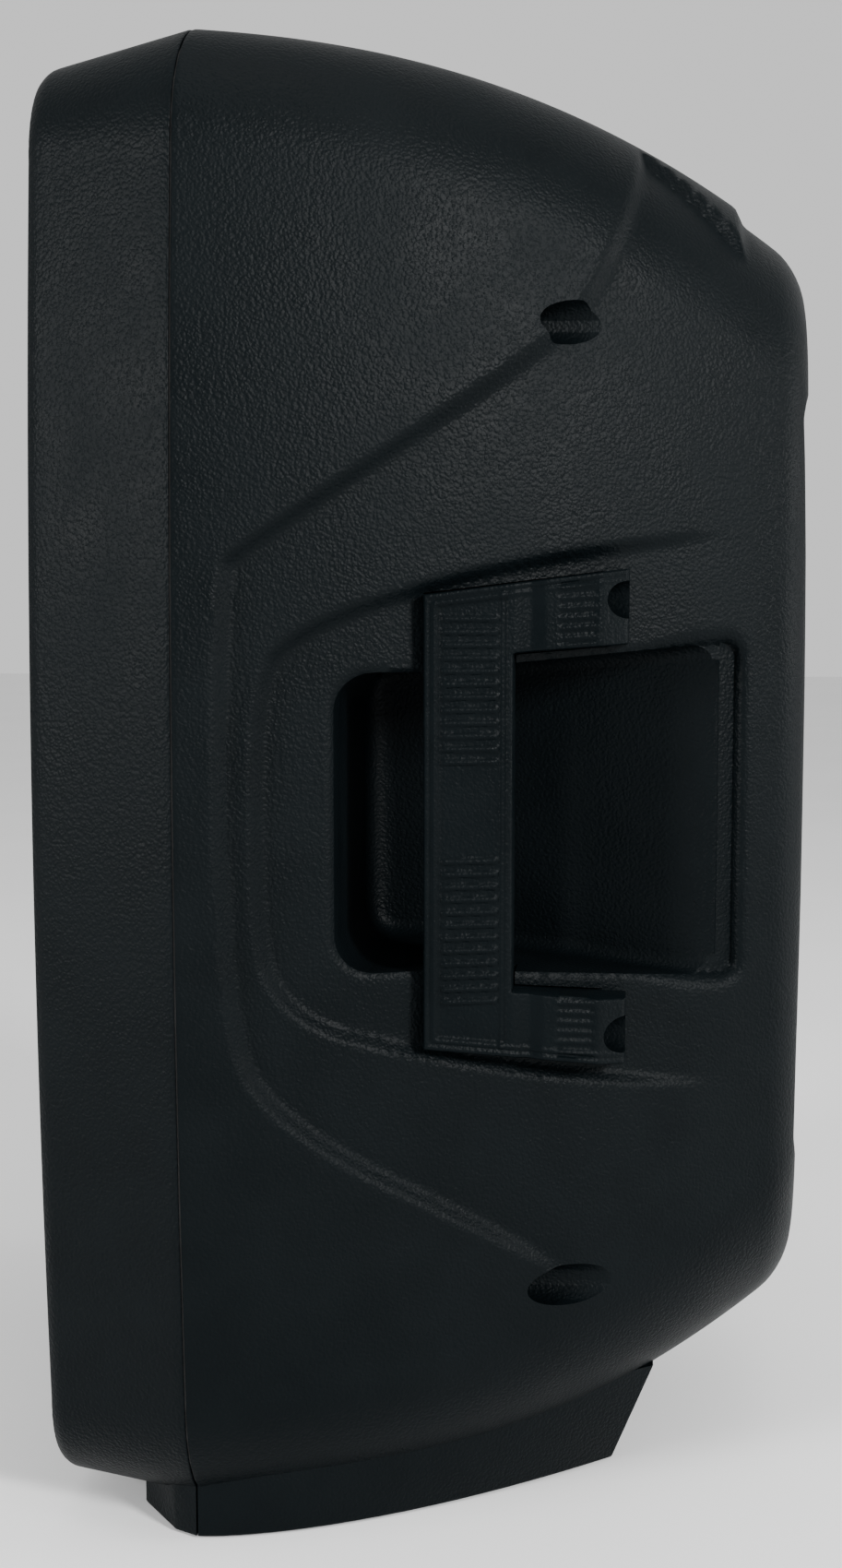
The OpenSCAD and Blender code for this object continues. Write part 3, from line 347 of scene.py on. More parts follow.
lead_blue = finish_of("lead_blue", (0.02, 0.035, 0.30), (0.03, 0.05, 0.42), (0.4, 0.5), 250,
                      [("noise", 1500, 0.03, 0.6)])
mark_paint = finish_of("mark_paint", (0.55, 0.56, 0.57), (0.68, 0.69, 0.70), (0.5, 0.6), 300,
                       [("noise", 2500, 0.01, 0.5)])

NODE_FINISH = {
    shell_plastic: ["front_shell", "rear_shell", "pole_cup"],
    handle_plastic: ["side_handle_right", "side_handle_left", "top_handle"],
    rubber: ["shell_gasket", "woofer_gasket", "woofer_surround", "panel_gasket", "rubber_feet"],
    zinc: ["shell_screws", "handle_screws", "top_handle_screws", "pole_cup_screws"],
    painted_steel: ["grille", "woofer_basket"],
    foam_grey: ["grille_foam"],
    wadding: ["acoustic_lining"],
    black_screw: ["grille_screws", "woofer_screws", "horn_screws", "panel_screws"],
    driver_cast: ["woofer_top_plate", "woofer_yoke", "hf_driver_body", "hf_rear_cap"],
    ferrite: ["woofer_magnet", "hf_magnet"],
    paper: ["woofer_cone", "woofer_dust_cap"],
    copper: ["woofer_voice_coil"],
    spider_cloth: ["woofer_spider"],
    horn_plastic: ["horn_flare", "port_tubes"],
    titanium: ["hf_diaphragm"],
    panel_paint: ["amp_panel"],
    anodised: ["heat_sink"],
    board: ["amp_board"],
    brass: ["board_standoffs"],
    transformer_wrap: ["power_transformer"],
    socket_plastic: ["input_jacks", "link_output", "inlet_socket", "rocker_frame", "fuse_drawer"],
    latch_metal: ["jack_latch_a", "jack_latch_b", "potentiometers"],
    smooth_plastic: ["gain_knob_a", "gain_knob_b", "master_knob", "voicing_button"],
    rocker_red: ["power_rocker"],
    lens_green: ["led_lenses"],
    lead_red: ["woofer_leads"],
    lead_blue: ["hf_leads"],
}
for material, names in NODE_FINISH.items():
    for name in names:
        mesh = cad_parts[name].data
        mesh.materials.clear()
        mesh.materials.append(material)
        mesh.polygons.foreach_set("use_smooth", [True] * len(mesh.polygons))
        mesh.set_sharp_from_angle(angle=math.radians(30))


# ---- Raised and lowered areas of the cabinet's sides ----
def rounded_path(points, rounds=2):
    """Cuts the corners of an open path, as in Chaikin's curve."""
    p = np.array(points, float)
    for _ in range(rounds):
        a, b = p[:-1], p[1:]
        cut = np.column_stack([0.75 * a + 0.25 * b, 0.25 * a + 0.75 * b]).reshape(-1, 2)
        p = np.vstack([p[:1], cut, p[-1:]])
    return p


def signed_distance(path, y, z):
    """Distance from each point to a closed path, positive inside."""
    best = np.full(len(y), 1e9)
    inside = np.zeros(len(y), bool)
    for (y0, z0), (y1, z1) in zip(path, np.roll(path, -1, axis=0)):
        dy, dz = y1 - y0, z1 - z0
        length = dy * dy + dz * dz
        if length < 1e-9:
            continue
        t = np.clip(((y - y0) * dy + (z - z0) * dz) / length, 0, 1)
        best = np.minimum(best, np.hypot(y - y0 - t * dy, z - z0 - t * dz))
        if dz:
            crosses = ((z0 > z) != (z1 > z)) & (y < dy * (z - z0) / dz + y0)
            inside ^= crosses
    return np.where(inside, best, -best)


OUTER_STEP, INNER_STEP, STEP_SOFT, BAND_HALF, BAND_END = 5.2, 4.6, 5.0, 80, 125
outer_path = np.vstack([rounded_path([
    (84.5, 640), (84.5, 562), (80, 535), (67, 500), (50, 478), (-66, 397), (-73, 388), (-73, 222),
    (-57, 177), (37, 119), (62, 99), (100, 84), (170, 60)]), [(300, 60), (300, 640)]])
inner_path = np.vstack([rounded_path([
    (160, 412), (50, 396), (-5, 382), (-44, 367), (-61, 350), (-61, 245), (-54, 226), (-39, 212),
    (-12, 203), (37, 190), (88, 181), (160, 172)]), [(300, 172), (300, 412)]])

# Hand pocket: outline in the side view, and the floor in plan.
POCKET_Y0, POCKET_Y1, POCKET_CORNER, POCKET_FILLET = -33, 124, 15, 7


def pocket_top(y):
    end = POCKET_CORNER - np.sqrt(max(POCKET_CORNER ** 2 - max(POCKET_CORNER - (y - POCKET_Y0), 0) ** 2, 0))
    far = 6 - math.sqrt(max(36 - max(6 - (POCKET_Y1 - y), 0) ** 2, 0))
    return 350.5 + 0.09 * max(y, 0) - end - far


def pocket_bottom(y):
    end = POCKET_CORNER - np.sqrt(max(POCKET_CORNER ** 2 - max(POCKET_CORNER - (y - POCKET_Y0), 0) ** 2, 0))
    far = 6 - math.sqrt(max(36 - max(6 - (POCKET_Y1 - y), 0) ** 2, 0))
    return 232.5 - 0.09 * max(y - 8, 0) + end + far


def pocket_floor(y):
    floor = np.interp(y, [POCKET_Y0, 0, 22, POCKET_Y1], [74, 74, 84, 105])
    end = POCKET_FILLET + 3
    near = end - math.sqrt(max(end ** 2 - max(end - (y - POCKET_Y0), 0) ** 2, 0))
    far = 8 - math.sqrt(max(64 - max(8 - (POCKET_Y1 - y), 0) ** 2, 0))
    return floor + near + far


def pocket_stations():
    ends = [0, 0.15, 0.6, 1.4, 2.6, 4.2, 6.2, 8.8, 12]
    return sorted({POCKET_Y0 + e for e in ends} | {POCKET_Y1 - e for e in ends}
                  | set(np.arange(POCKET_Y0 + 16, POCKET_Y1 - 8, 6.0)))


def pocket_cutter(name, grow=0.0, lip_x=215):
    """The pocket as a solid lofted along Y, with filleted floor edges."""
    rings = []
    for y in pocket_stations():
        top, low, floor = pocket_top(y) + grow, pocket_bottom(y) - grow, pocket_floor(y) - grow
        r = min(POCKET_FILLET, (top - low) / 2 - 0.5)
        a = np.linspace(0, math.pi / 2, 6)
        lower = [[floor + r - r * math.sin(t), low + r - r * math.cos(t)] for t in a]
        upper = [[x, top + low - z] for x, z in lower[::-1]]
        section = np.array([[lip_x, low], *lower, *upper, [lip_x, top]])
        at = y - grow if y == POCKET_Y0 else y + grow if y == POCKET_Y1 else y
        rings.append(np.column_stack([section[:, 0], np.full(len(section), at), section[:, 1]]))
    return loft(name, rings)


pocket_path = np.array([(y, pocket_top(y)) for y in pocket_stations()]
                       + [(y, pocket_bottom(y)) for y in reversed(pocket_stations())])


def side_drop(points):
    """How far the sides are set in at each point of the rear shell's skin."""
    x, y, z = np.abs(points[:, 0]), points[:, 1], points[:, 2]
    outer = np.minimum(signed_distance(outer_path, y, np.clip(z, 61, 639)),
                       np.maximum(x - BAND_HALF, y - BAND_END))
    fade = smooth_step((y - 20) / 50)
    low = smooth_step((z - 92) / 120)
    share = 1 - fade + fade * low
    drop = OUTER_STEP * smooth_step(outer / STEP_SOFT + 0.5) * share
    inner = signed_distance(inner_path, y, z)
    on_side = smooth_step((x - 100) / 8)
    drop += INNER_STEP * smooth_step(inner / STEP_SOFT + 0.5) * (1 - smooth_step((y - 70) / 55)) * on_side
    away = -signed_distance(pocket_path, y, z)
    lip = 2.6 + 5.4 * smooth_step((y - 80) / 30)
    t = np.clip(1 - np.maximum(away, 0) / lip, 0, 1)
    drop += lip * 0.8 * (1 - np.sqrt(1 - t * t)) * on_side * (away > -8)
    return drop


def skin_ring(y, inset=0.0, y_at=None, **counts):
    """An outline whose points are moved in by the drop of the sides, square to the outline."""
    ring = outline(y, inset, y_at, **counts)
    along = np.roll(ring, -1, axis=0) - np.roll(ring, 1, axis=0)
    normal = np.column_stack([along[:, 2], -along[:, 0]])
    normal /= np.linalg.norm(normal, axis=1)[:, None]
    if (normal * (ring[:, [0, 2]] - ring[:, [0, 2]].mean(0))).sum() < 0:
        normal = -normal
    drop = side_drop(ring)
    ring[:, 0] -= normal[:, 0] * drop
    ring[:, 2] -= normal[:, 1] * drop
    return ring


def plinth_ring(z, inset=0.0):
    y0 = SEAM_Y - PLINTH_FRONT + inset
    y1 = SEAM_Y + PLINTH_REAR + PLINTH_DRAFT * z - inset
    w = PLINTH_W - inset
    t = np.linspace(0, 1, 17)
    rear = np.column_stack([w - (w - PLINTH_END_W + inset) * t ** PLINTH_BOW, SEAM_Y + (y1 - SEAM_Y) * t])
    right = np.vstack([[w - PLINTH_FRONT, y0], [w - 5, SEAM_Y - 10], rear])
    ring = np.vstack([right, right[::-1] * [-1, 1]])
    return np.column_stack([ring, np.full(len(ring), z)])


def plinth_solid(name, y_from, y_to):
    """The plinth between two depths, with a small rounding at its foot."""
    heights = [(FOOT_PROUD, 0.9), (FOOT_PROUD + 0.3, 0.3), (FOOT_PROUD + 1.2, 0), (PLINTH_TOP, 0)]
    whole = loft(name, [plinth_ring(z, inset) for z, inset in heights])
    span = y_to - y_from
    keep = new_object("keep", *box_mesh((-260, y_from, -20), (260, y_from + span, 80)))
    return combine(whole, [keep], "INTERSECT")


def box_mesh(low, high):
    x0, y0, z0 = low
    x1, y1, z1 = high
    points = [(x, y, z) for z in (z0, z1) for y in (y0, y1) for x in (x0, x1)]
    faces = [(0, 2, 3, 1), (4, 5, 7, 6), (0, 1, 5, 4), (2, 6, 7, 3), (0, 4, 6, 2), (1, 3, 7, 5)]
    return points, faces


def both_sides(make):
    right = make()
    left = mirrored(right, right.name + "_far")
    return [right, left]


# ---- Side handles ----
def handle_top(y):
    return GRIP_Z + GRIP_H / 2 + (y - GRIP_Y) * 0.13


def handle_bottom(y):
    return GRIP_Z - GRIP_H / 2 - (y - GRIP_Y) * 0.13


def handle_rows(y):
    """The four edges that cross the handle at depth y, from the lower arm's foot up."""
    return (handle_bottom(y), 228.5 - max(y - GRIP_Y, 0) * 0.12,
            355.0 + max(y - GRIP_Y, 0) * 0.075, handle_top(y))


RIB_PITCH, RIB_COUNT, RIB_HIGH = 5.05, 12, 0.95
upper_ribs = [371.0 - RIB_PITCH * k for k in range(RIB_COUNT)]
lower_ribs = [276.5 - RIB_PITCH * k for k in range(RIB_COUNT)]


def ridge(distance, half_width):
    return np.clip(1 - (distance / half_width) ** 2, 0, 1) ** 0.7


def handle_relief(y, z):
    """Height of the handle's face above its plane, below zero where it is sunk."""
    left, top, low = y - GRIP_Y, handle_top(y) - z, z - handle_bottom(y)
    rim = np.minimum(np.minimum(left, top), low)
    height = -0.6 * smooth_step((rim - 1.6) / 1.0) + 0.5 * ridge(rim - 4.1, 1.0)
    bar = smooth_step((33.2 - y) / 0.8)
    height -= 0.8 * smooth_step((rim - 5.0) / 1.2) * bar
    height += 0.5 * ridge(y - 31.2, 1.0) * (rim > 3)
    inside = smooth_step((y - 7.5) / 1.6) * smooth_step((30.3 - y) / 1.6)
    for at in upper_ribs + lower_ribs:
        height = np.maximum(height, height + RIB_HIGH * ridge(z - at, 1.35) * inside)
    arm_mid = np.where(z > GRIP_Z, (355 + handle_top(y)) / 2 + 2, (228.5 + handle_bottom(y)) / 2 - 2.5)
    in_patch = smooth_step((y - 52.5) / 1.2) * smooth_step((68 - y) / 1.2) * (np.abs(z - arm_mid) < 12)
    height -= 0.5 * in_patch
    for k in range(6):
        height += 0.6 * ridge(z - arm_mid - (k - 2.5) * 3.9, 1.2) * in_patch
    height -= 1.5 * smooth_step(1 - np.abs(y - 42) / 6.5) * (y > 34)
    return height


def side_handle(name):
    """C-shaped moulding on a mesh of rows and columns whose lines follow its edges."""
    bar_columns, arm_columns, arm_rows, bar_rows = 54, 62, 44, 200
    ys = np.concatenate([np.linspace(GRIP_Y, GRIP_Y + GRIP_W, bar_columns),
                         np.linspace(GRIP_Y + GRIP_W, ARM_END_Y, arm_columns)[1:]])
    share = [np.linspace(0, 1, arm_rows + 1), np.linspace(0, 1, bar_rows + 1)[1:],
             np.linspace(0, 1, arm_rows + 1)[1:]]
    grid = []
    for y in ys:
        edges = handle_rows(y)
        grid.append(np.concatenate([edges[k] + (edges[k + 1] - edges[k]) * share[k] for k in range(3)]))
    zz = np.array(grid)
    rows = zz.shape[1]
    yy = np.repeat(ys[:, None], rows, axis=1)
    kept = np.ones((len(ys) - 1, rows - 1), bool)
    kept[bar_columns - 1:, arm_rows:arm_rows + bar_rows] = False
    used = np.zeros_like(yy, bool)
    for di in (0, 1):
        for dj in (0, 1):
            used[di:len(ys) - 1 + di, dj:rows - 1 + dj] |= kept

    edges = np.array([handle_rows(y) for y in ys])
    outer = np.minimum(np.minimum(yy - GRIP_Y, zz - edges[:, :1]), edges[:, 3:] - zz)
    end = ARM_END_Y - yy
    middle = (zz > edges[:, 1:2]) & (zz < edges[:, 2:3])
    inner_side = np.where(middle, GRIP_Y + GRIP_W - yy, 99)
    arm = yy > GRIP_Y + GRIP_W
    inner_low = np.where(arm & (zz <= edges[:, 1:2] + 0.01), edges[:, 1:2] - zz, 99)
    inner_top = np.where(arm & (zz >= edges[:, 2:3] - 0.01), zz - edges[:, 2:3], 99)
    rim = np.minimum.reduce([outer, end, inner_side, inner_low, inner_top])
    round_r, chamfer_y, chamfer_slope, back_r = 1.3, 69.5, 0.62, 7
    t = np.clip(1 - np.maximum(rim, 0) / round_r, 0, 1)
    rounding = round_r * (1 - np.sqrt(1 - t * t))
    face = GRIP_FACE_X - GRIP_SLOPE * (yy - GRIP_Y) + handle_relief(yy, zz) - rounding
    face -= np.clip(yy - chamfer_y, 0, None) * chamfer_slope
    bar_back = GRIP_FACE_X - GRIP_SLOPE * (yy - GRIP_Y) - GRIP_T
    back = np.where(middle & ~arm, bar_back, np.minimum(ARM_INNER_X, bar_back))
    far_side = np.where(middle, GRIP_Y + GRIP_W - yy, 99)
    t = np.clip(1 - np.minimum(np.maximum(yy - GRIP_Y, 0), far_side) / back_r, 0, 1)
    back = back + back_r * (1 - np.sqrt(1 - t * t)) * (yy <= GRIP_Y + GRIP_W)

    number = -np.ones(yy.shape, int)
    number[used] = np.arange(used.sum())
    count = used.sum()
    points = np.vstack([np.column_stack([face[used], yy[used], zz[used]]),
                        np.column_stack([back[used], yy[used], zz[used]])])
    faces, links = [], {}
    for i, j in zip(*np.nonzero(kept)):
        quad = [number[i, j], number[i + 1, j], number[i + 1, j + 1], number[i, j + 1]]
        faces.append(quad)
        faces.append([q + count for q in quad[::-1]])
        for a, b in zip(quad, quad[1:] + quad[:1]):
            if (b, a) in links:
                del links[(b, a)]
            else:
                links[(a, b)] = True
    faces += [[b, a, a + count, b + count] for a, b in links]
    handle = new_object(name, points, faces)
    outward(handle)
    bores = []
    for s in (-1, 1):
        bores.append(rod("bore", (HANDLE_SCREW_X, HANDLE_HEAD_Y, GRIP_Z + s * HANDLE_SCREW_DZ), 7.5, 40))
        bores.append(rod("hole", (HANDLE_SCREW_X, -2, GRIP_Z + s * HANDLE_SCREW_DZ), 2.9, 90, sides=24))
    return combine(handle, bores)


def handle_seat(name, grow=0.6):
    """Room for the handle in the shell's side."""
    y0, y1, y2 = GRIP_Y - grow, GRIP_Y + GRIP_W + grow, ARM_END_Y + grow
    near, far = handle_rows(35), handle_rows(ARM_END_Y)
    outer = [(y0, handle_bottom(GRIP_Y) - grow), (y2, far[0] - grow), (y2, far[1] + grow),
             (y1, near[1] + grow), (y1, near[2] - grow), (y2, far[2] - grow), (y2, far[3] + grow),
             (y0, handle_top(GRIP_Y) + grow)]
    rings = [np.array([(x, y, z) for y, z in outer]) for x in (ARM_INNER_X - grow, 230)]
    return loft(name, rings)


# ---- Rear shell ----
FINE = dict(flat=56, arc=26, side=240)
rear_rings = [skin_ring(SEAM_Y + SEAM_GAP / 2, 0.55, **FINE), skin_ring(SEAM_Y + 0.75, 0.15, **FINE)]
rear_rings += [skin_ring(y, **FINE) for y in np.linspace(SEAM_Y + 1.3, BACK_Y - BACK_ROUND, 144)]
for angle in np.radians([78, 66, 54, 42, 30, 18, 8, 0]):
    y = BACK_Y - BACK_ROUND * (1 - math.cos(angle))
    rear_rings.append(skin_ring(y, BACK_ROUND * (1 - math.sin(angle)), **FINE))
rear = loft("cabinet_rear_skin", rear_rings)
cavity = loft("cavity", [outline(y, inset, y_at) for y, inset, y_at in
                         [(SEAM_Y, 12, SEAM_Y - 4), (-40, 12, -40), (20, 12, 20), (80, 13, 80),
                          (102, 18, 102), (120, 23, 120)]])
TOP_POCKET_HALF, TOP_POCKET_Y0, TOP_POCKET_Y1, TOP_POCKET_DEPTH = 72, -28, 44, 50
TOP_BAR_Y = (TOP_POCKET_Y0 + TOP_POCKET_Y1) / 2
top_floor = top_z(TOP_BAR_Y) - TOP_POCKET_DEPTH
screw_sites = [(s, z) for s in (-1, 1) for z in (SCREW_LOW_Z, SCREW_HIGH_Z)]
top_pocket_wall = box_mesh((-TOP_POCKET_HALF - WALL, TOP_POCKET_Y0 - WALL, top_floor - WALL),
                           (TOP_POCKET_HALF + WALL, TOP_POCKET_Y1 + WALL, 650))
combine(cavity, both_sides(lambda: pocket_cutter("pocket_wall", WALL))
        + [new_object("top_pocket_wall", *top_pocket_wall)]
        + [rod("boss", (s * BOSS_X, SEAM_Y - 8, z), 12, 260) for s, z in screw_sites])
PAD_ROOM_Y, PAD_ROOM_W, PAD_ROOM_H = 118, 100, 406
pad_room = rounded_prism("pad_room", (0, PAD_ROOM_Y, PANEL_Z), PAD_ROOM_W, PAD_ROOM_H, 8,
                         BACK_Y - 4.2 - PAD_ROOM_Y)
combine(pad_room, [rounded_prism("well_wall", (0, WELL_Y - 5, PANEL_Z), PANEL_W + 10, PANEL_H + 10,
                                 18, 40)])
combine(rear, [plinth_solid("plinth_rear", SEAM_Y + SEAM_GAP / 2, 140)], "UNION")
cutters = [cavity, pad_room]
cutters += both_sides(lambda: pocket_cutter("pocket")) + both_sides(lambda: handle_seat("seat"))
cutters += [rod("recess", (s * BOSS_X, RECESS_Y, z), RECESS_R, 260) for s, z in screw_sites]
cutters.append(rounded_prism("well", (0, WELL_Y, PANEL_Z), PANEL_W + 1, PANEL_H + 1, 14, 60))
cutters.append(rounded_prism("well_opening", (0, WELL_Y - 20, PANEL_Z), PANEL_W - 18, PANEL_H - 18,
                             9.5, 60))
CUP_Y, CUP_R, CUP_FLANGE_R, FOOT_R = -5, 21.6, 34.2, 14.1
cutters.append(rod("cup_hole", (0, CUP_Y, -10), CUP_R, 88, "Z"))
cutters.append(rod("cup_flange", (0, CUP_Y, -10), CUP_FLANGE_R, 15, "Z"))
cutters += [rod("foot_hole", (s * x, y, -1), FOOT_R, 5, "Z")
            for s in (-1, 1) for x, y in ((146, -70), (66, 51))]
combine(rear, cutters)
top_void_rings = []
for z, inset in ((top_floor, 5), (top_floor + 1.5, 1.5), (top_floor + 5, 0), (640, 0)):
    w, y0, y1 = TOP_POCKET_HALF - inset, TOP_POCKET_Y0 + inset, TOP_POCKET_Y1 - inset
    top_void_rings.append(np.array([(-w, y0, z), (w, y0, z), (w, y1, z), (-w, y1, z)]))
top_void = loft("top_void", top_void_rings)
SEAT_X, SEAT_HALF, SEAT_Y0, SEAT_Y1, SEAT_TOP = 65, 7.6, -6, 22, 562.6
combine(top_void, [new_object("seat_block", *box_mesh((s * SEAT_X - SEAT_HALF, SEAT_Y0, top_floor - 2),
                                                      (s * SEAT_X + SEAT_HALF, SEAT_Y1, SEAT_TOP)))
                   for s in (-1, 1)])
combine(rear, [top_void])
dress(rear, shell_plastic, hides=["rear_shell"])

# ---- Front shell ----
COARSE = dict(flat=14, arc=16, side=90)
front_rings = [outline(FRONT_Y + FRONT_ROUND * (1 - math.sin(a)), FRONT_ROUND * (1 - math.cos(a)), **COARSE)
               for a in np.radians(np.linspace(90, 0, 9))]
front_rings += [outline(y, 0, **COARSE) for y in np.linspace(FRONT_Y + FRONT_ROUND, SEAM_Y - 1.3, 16)[1:]]
front_rings += [outline(SEAM_Y - 0.75, 0.15, **COARSE), outline(SEAM_Y - SEAM_GAP / 2, 0.55, **COARSE)]
front = loft("cabinet_front_skin", front_rings)
combine(front, [plinth_solid("plinth_front", -130, SEAM_Y - SEAM_GAP / 2)], "UNION")
front_y_in = FRONT_Y + FRONT_ROUND
WOOFER_Z, WOOFER_HOLE_R, HORN_Z, HORN_W, HORN_H = 180, 141, 474, 248, 152
PORT_X, PORT_Z, PORT_R = 121, 356, 27.2
front_cuts = [
    loft("front_recess", [outline(front_y_in, inset, y_at) for inset, y_at in (
        (WALL - 1.5, FRONT_Y - 2), (WALL - 1.5, FRONT_Y), (WALL, FRONT_Y + 2), (WALL, BAFFLE_Y))]),
    loft("back_recess", [outline(front_y_in, WALL, BAFFLE_Y + BAFFLE_T),
                         outline(SEAM_Y, WALL, SEAM_Y + 4)]),
    rod("woofer_hole", (0, BAFFLE_Y - 2, WOOFER_Z), WOOFER_HOLE_R, 14, sides=96),
    rounded_prism("horn_hole", (0, BAFFLE_Y - 2, HORN_Z), HORN_W, HORN_H, 18, 14),
    rod("port_hole", (PORT_X, BAFFLE_Y - 2, PORT_Z), PORT_R, 14),
    rod("port_hole", (-PORT_X, BAFFLE_Y - 2, PORT_Z), PORT_R, 14)]
combine(front, front_cuts)
dress(front, shell_plastic, hides=["front_shell"])

right_handle = side_handle("grip_right")
left_handle = mirrored(right_handle, "grip_left")
dress(right_handle, handle_plastic, hides=["side_handle_right"], sharp=38)
dress(left_handle, handle_plastic, hides=["side_handle_left"], sharp=38)

# ---- Grille: honeycomb sheet in a folded border ----
GRILLE_Y, GRILLE_T, GRILLE_INSET, GRILLE_BORDER = -151, 1.2, 5, 13
CELL_PITCH, HOLE_R = 6.0, 2.65


def grille_border():
    """Flat border that folds back into a rim, as one closed ring."""
    rings = [outline(front_y_in, inset, y_at, **COARSE) for inset, y_at in [
        (GRILLE_INSET, GRILLE_Y + 7), (GRILLE_INSET, GRILLE_Y + 0.9), (GRILLE_INSET + 0.3, GRILLE_Y + 0.3),
        (GRILLE_INSET + 0.9, GRILLE_Y), (GRILLE_INSET + GRILLE_BORDER, GRILLE_Y),
        (GRILLE_INSET + GRILLE_BORDER, GRILLE_Y + GRILLE_T), (GRILLE_INSET + 2, GRILLE_Y + GRILLE_T),
        (GRILLE_INSET + GRILLE_T, GRILLE_Y + 2), (GRILLE_INSET + GRILLE_T, GRILLE_Y + 7)]]
    count = len(rings[0])
    faces = tube_faces(len(rings) + 1, count, closed=False)
    total = count * len(rings)
    border = new_object("grille_border", np.vstack(rings), [[v % total for v in f] for f in faces])
    outward(border)
    return border


def honeycomb():
    """Sheet of six-sided holes, one ring of quads to a cell, closed at its uneven edge under the border."""
    edge = outline(front_y_in, GRILLE_INSET + GRILLE_BORDER - 1.5, **COARSE)[:, [0, 2]]
    row_step = CELL_PITCH * math.sqrt(3) / 2
    cells = [(i, j) for j in range(-60, 61) for i in range(-40, 41)]
    centres = np.array([((i + (j % 2) / 2) * CELL_PITCH, 300 + j * row_step) for i, j in cells])
    inside = signed_distance(edge, centres[:, 0], centres[:, 1]) > 0
    kept = {cell: k for k, (cell, ok) in enumerate(zip(cells, inside)) if ok}
    angles = np.radians(np.arange(6) * 60 + 30)
    corner = np.column_stack([np.cos(angles), np.sin(angles)])
    points, faces, found = [], [], {}

    def point(x, z, y):
        key = (round(x, 2), round(z, 2), y)
        if key not in found:
            found[key] = len(points)
            points.append((x, y, z))
        return found[key]

    for (i, j), k in kept.items():
        cx, cz = centres[k]
        odd = j % 2
        beyond = [(i + odd, j + 1), (i - 1 + odd, j + 1), (i - 1, j), (i - 1 + odd, j - 1),
                  (i + odd, j - 1), (i + 1, j)]
        rim, hole = [], []
        for y in (GRILLE_Y + 0.05, GRILLE_Y + GRILLE_T - 0.05):
            for ring, r in ((rim, CELL_PITCH / math.sqrt(3)), (hole, HOLE_R)):
                ring.append([point(cx + c[0] * r, cz + c[1] * r, y) for c in corner])
        for a in range(6):
            b = (a + 1) % 6
            faces.append((rim[0][a], rim[0][b], hole[0][b], hole[0][a]))
            faces.append((rim[1][b], rim[1][a], hole[1][a], hole[1][b]))
            faces.append((hole[0][a], hole[0][b], hole[1][b], hole[1][a]))
            if beyond[a] not in kept:
                faces.append((rim[0][b], rim[0][a], rim[1][a], rim[1][b]))
    sheet = new_object("grille_honeycomb", points, faces)
    outward(sheet)
    return sheet


grille_screw_sites = [(s * x, z) for s in (-1, 1) for x, z in ((126, 58), (104, 573))]
dress(grille_border(), painted_steel, hides=["grille"])
dress(honeycomb(), painted_steel)
foam = loft("foam_sheet", [outline(front_y_in, inset, y_at, **COARSE) for inset, y_at in
                           [(8.7, -149.6), (8.1, -149.2), (8.1, -148.0), (8.7, -147.6)]])
combine(foam, [rod("foam_hole", (x, -152, z), 7, 12) for x, z in grille_screw_sites])
dress(foam, foam_grey, hides=["grille_foam"])


# ---- Wadding on the back wall ----
def wadding_pad(name, low, high, corner=7.0, cuts=16):
    """Soft-cornered pad with a shallow, uneven surface that stays inside its box."""
    low, high = np.array(low, float), np.array(high, float)
    t = np.linspace(0, 1, cuts + 1)
    points, faces = [], []
    for axis in range(3):
        u, v = [a for a in range(3) if a != axis]
        for end in (0, 1):
            start = len(points)
            for a in t:
                for b in t:
                    p = np.zeros(3)
                    p[axis], p[u], p[v] = end, a, b
                    points.append(low + p * (high - low))
            for i in range(cuts):
                for j in range(cuts):
                    q = start + i * (cuts + 1) + j
                    faces.append((q, q + 1, q + cuts + 2, q + cuts + 1))
    points = np.array(points)
    core = np.clip(points, low + corner, high - corner)
    away = points - core
    length = np.linalg.norm(away, axis=1)[:, None]
    x, y, z = points.T
    lumps = 0.55 + 0.25 * np.sin(x * 0.31 + z * 0.23) + 0.2 * np.sin(z * 0.83 + x * 0.57 + y * 0.4)
    points = core + away / np.maximum(length, 1e-6) * (corner - 1.6 * lumps)[:, None]
    pad = new_object(name, points, faces)
    bm = bmesh.new()
    bm.from_mesh(pad.data)
    bmesh.ops.remove_doubles(bm, verts=bm.verts, dist=0.01 * MM)
    bm.to_mesh(pad.data)
    bm.free()
    outward(pad)
    return pad


LINING_HALF_W, LINING_H, LINING_T, LINING_OFF = 44, 24, 18, 186
for word, side in (("upper", 1), ("lower", -1)):
    middle = PANEL_Z + side * LINING_OFF
    pad = wadding_pad(f"wadding_{word}", (-LINING_HALF_W, BACK_Y - 4.3 - LINING_T, middle - LINING_H / 2),
                      (LINING_HALF_W, BACK_Y - 4.3, middle + LINING_H / 2))
    dress(pad, wadding, sharp=80, hides=["acoustic_lining"])


# ---- Top handle ----
TOP_BAR_W, TOP_BAR_T, TOP_BAR_HALF = 32, 24, TOP_POCKET_HALF - 0.3
top_bar_z = top_z(TOP_BAR_Y) - 3 - TOP_BAR_T / 2


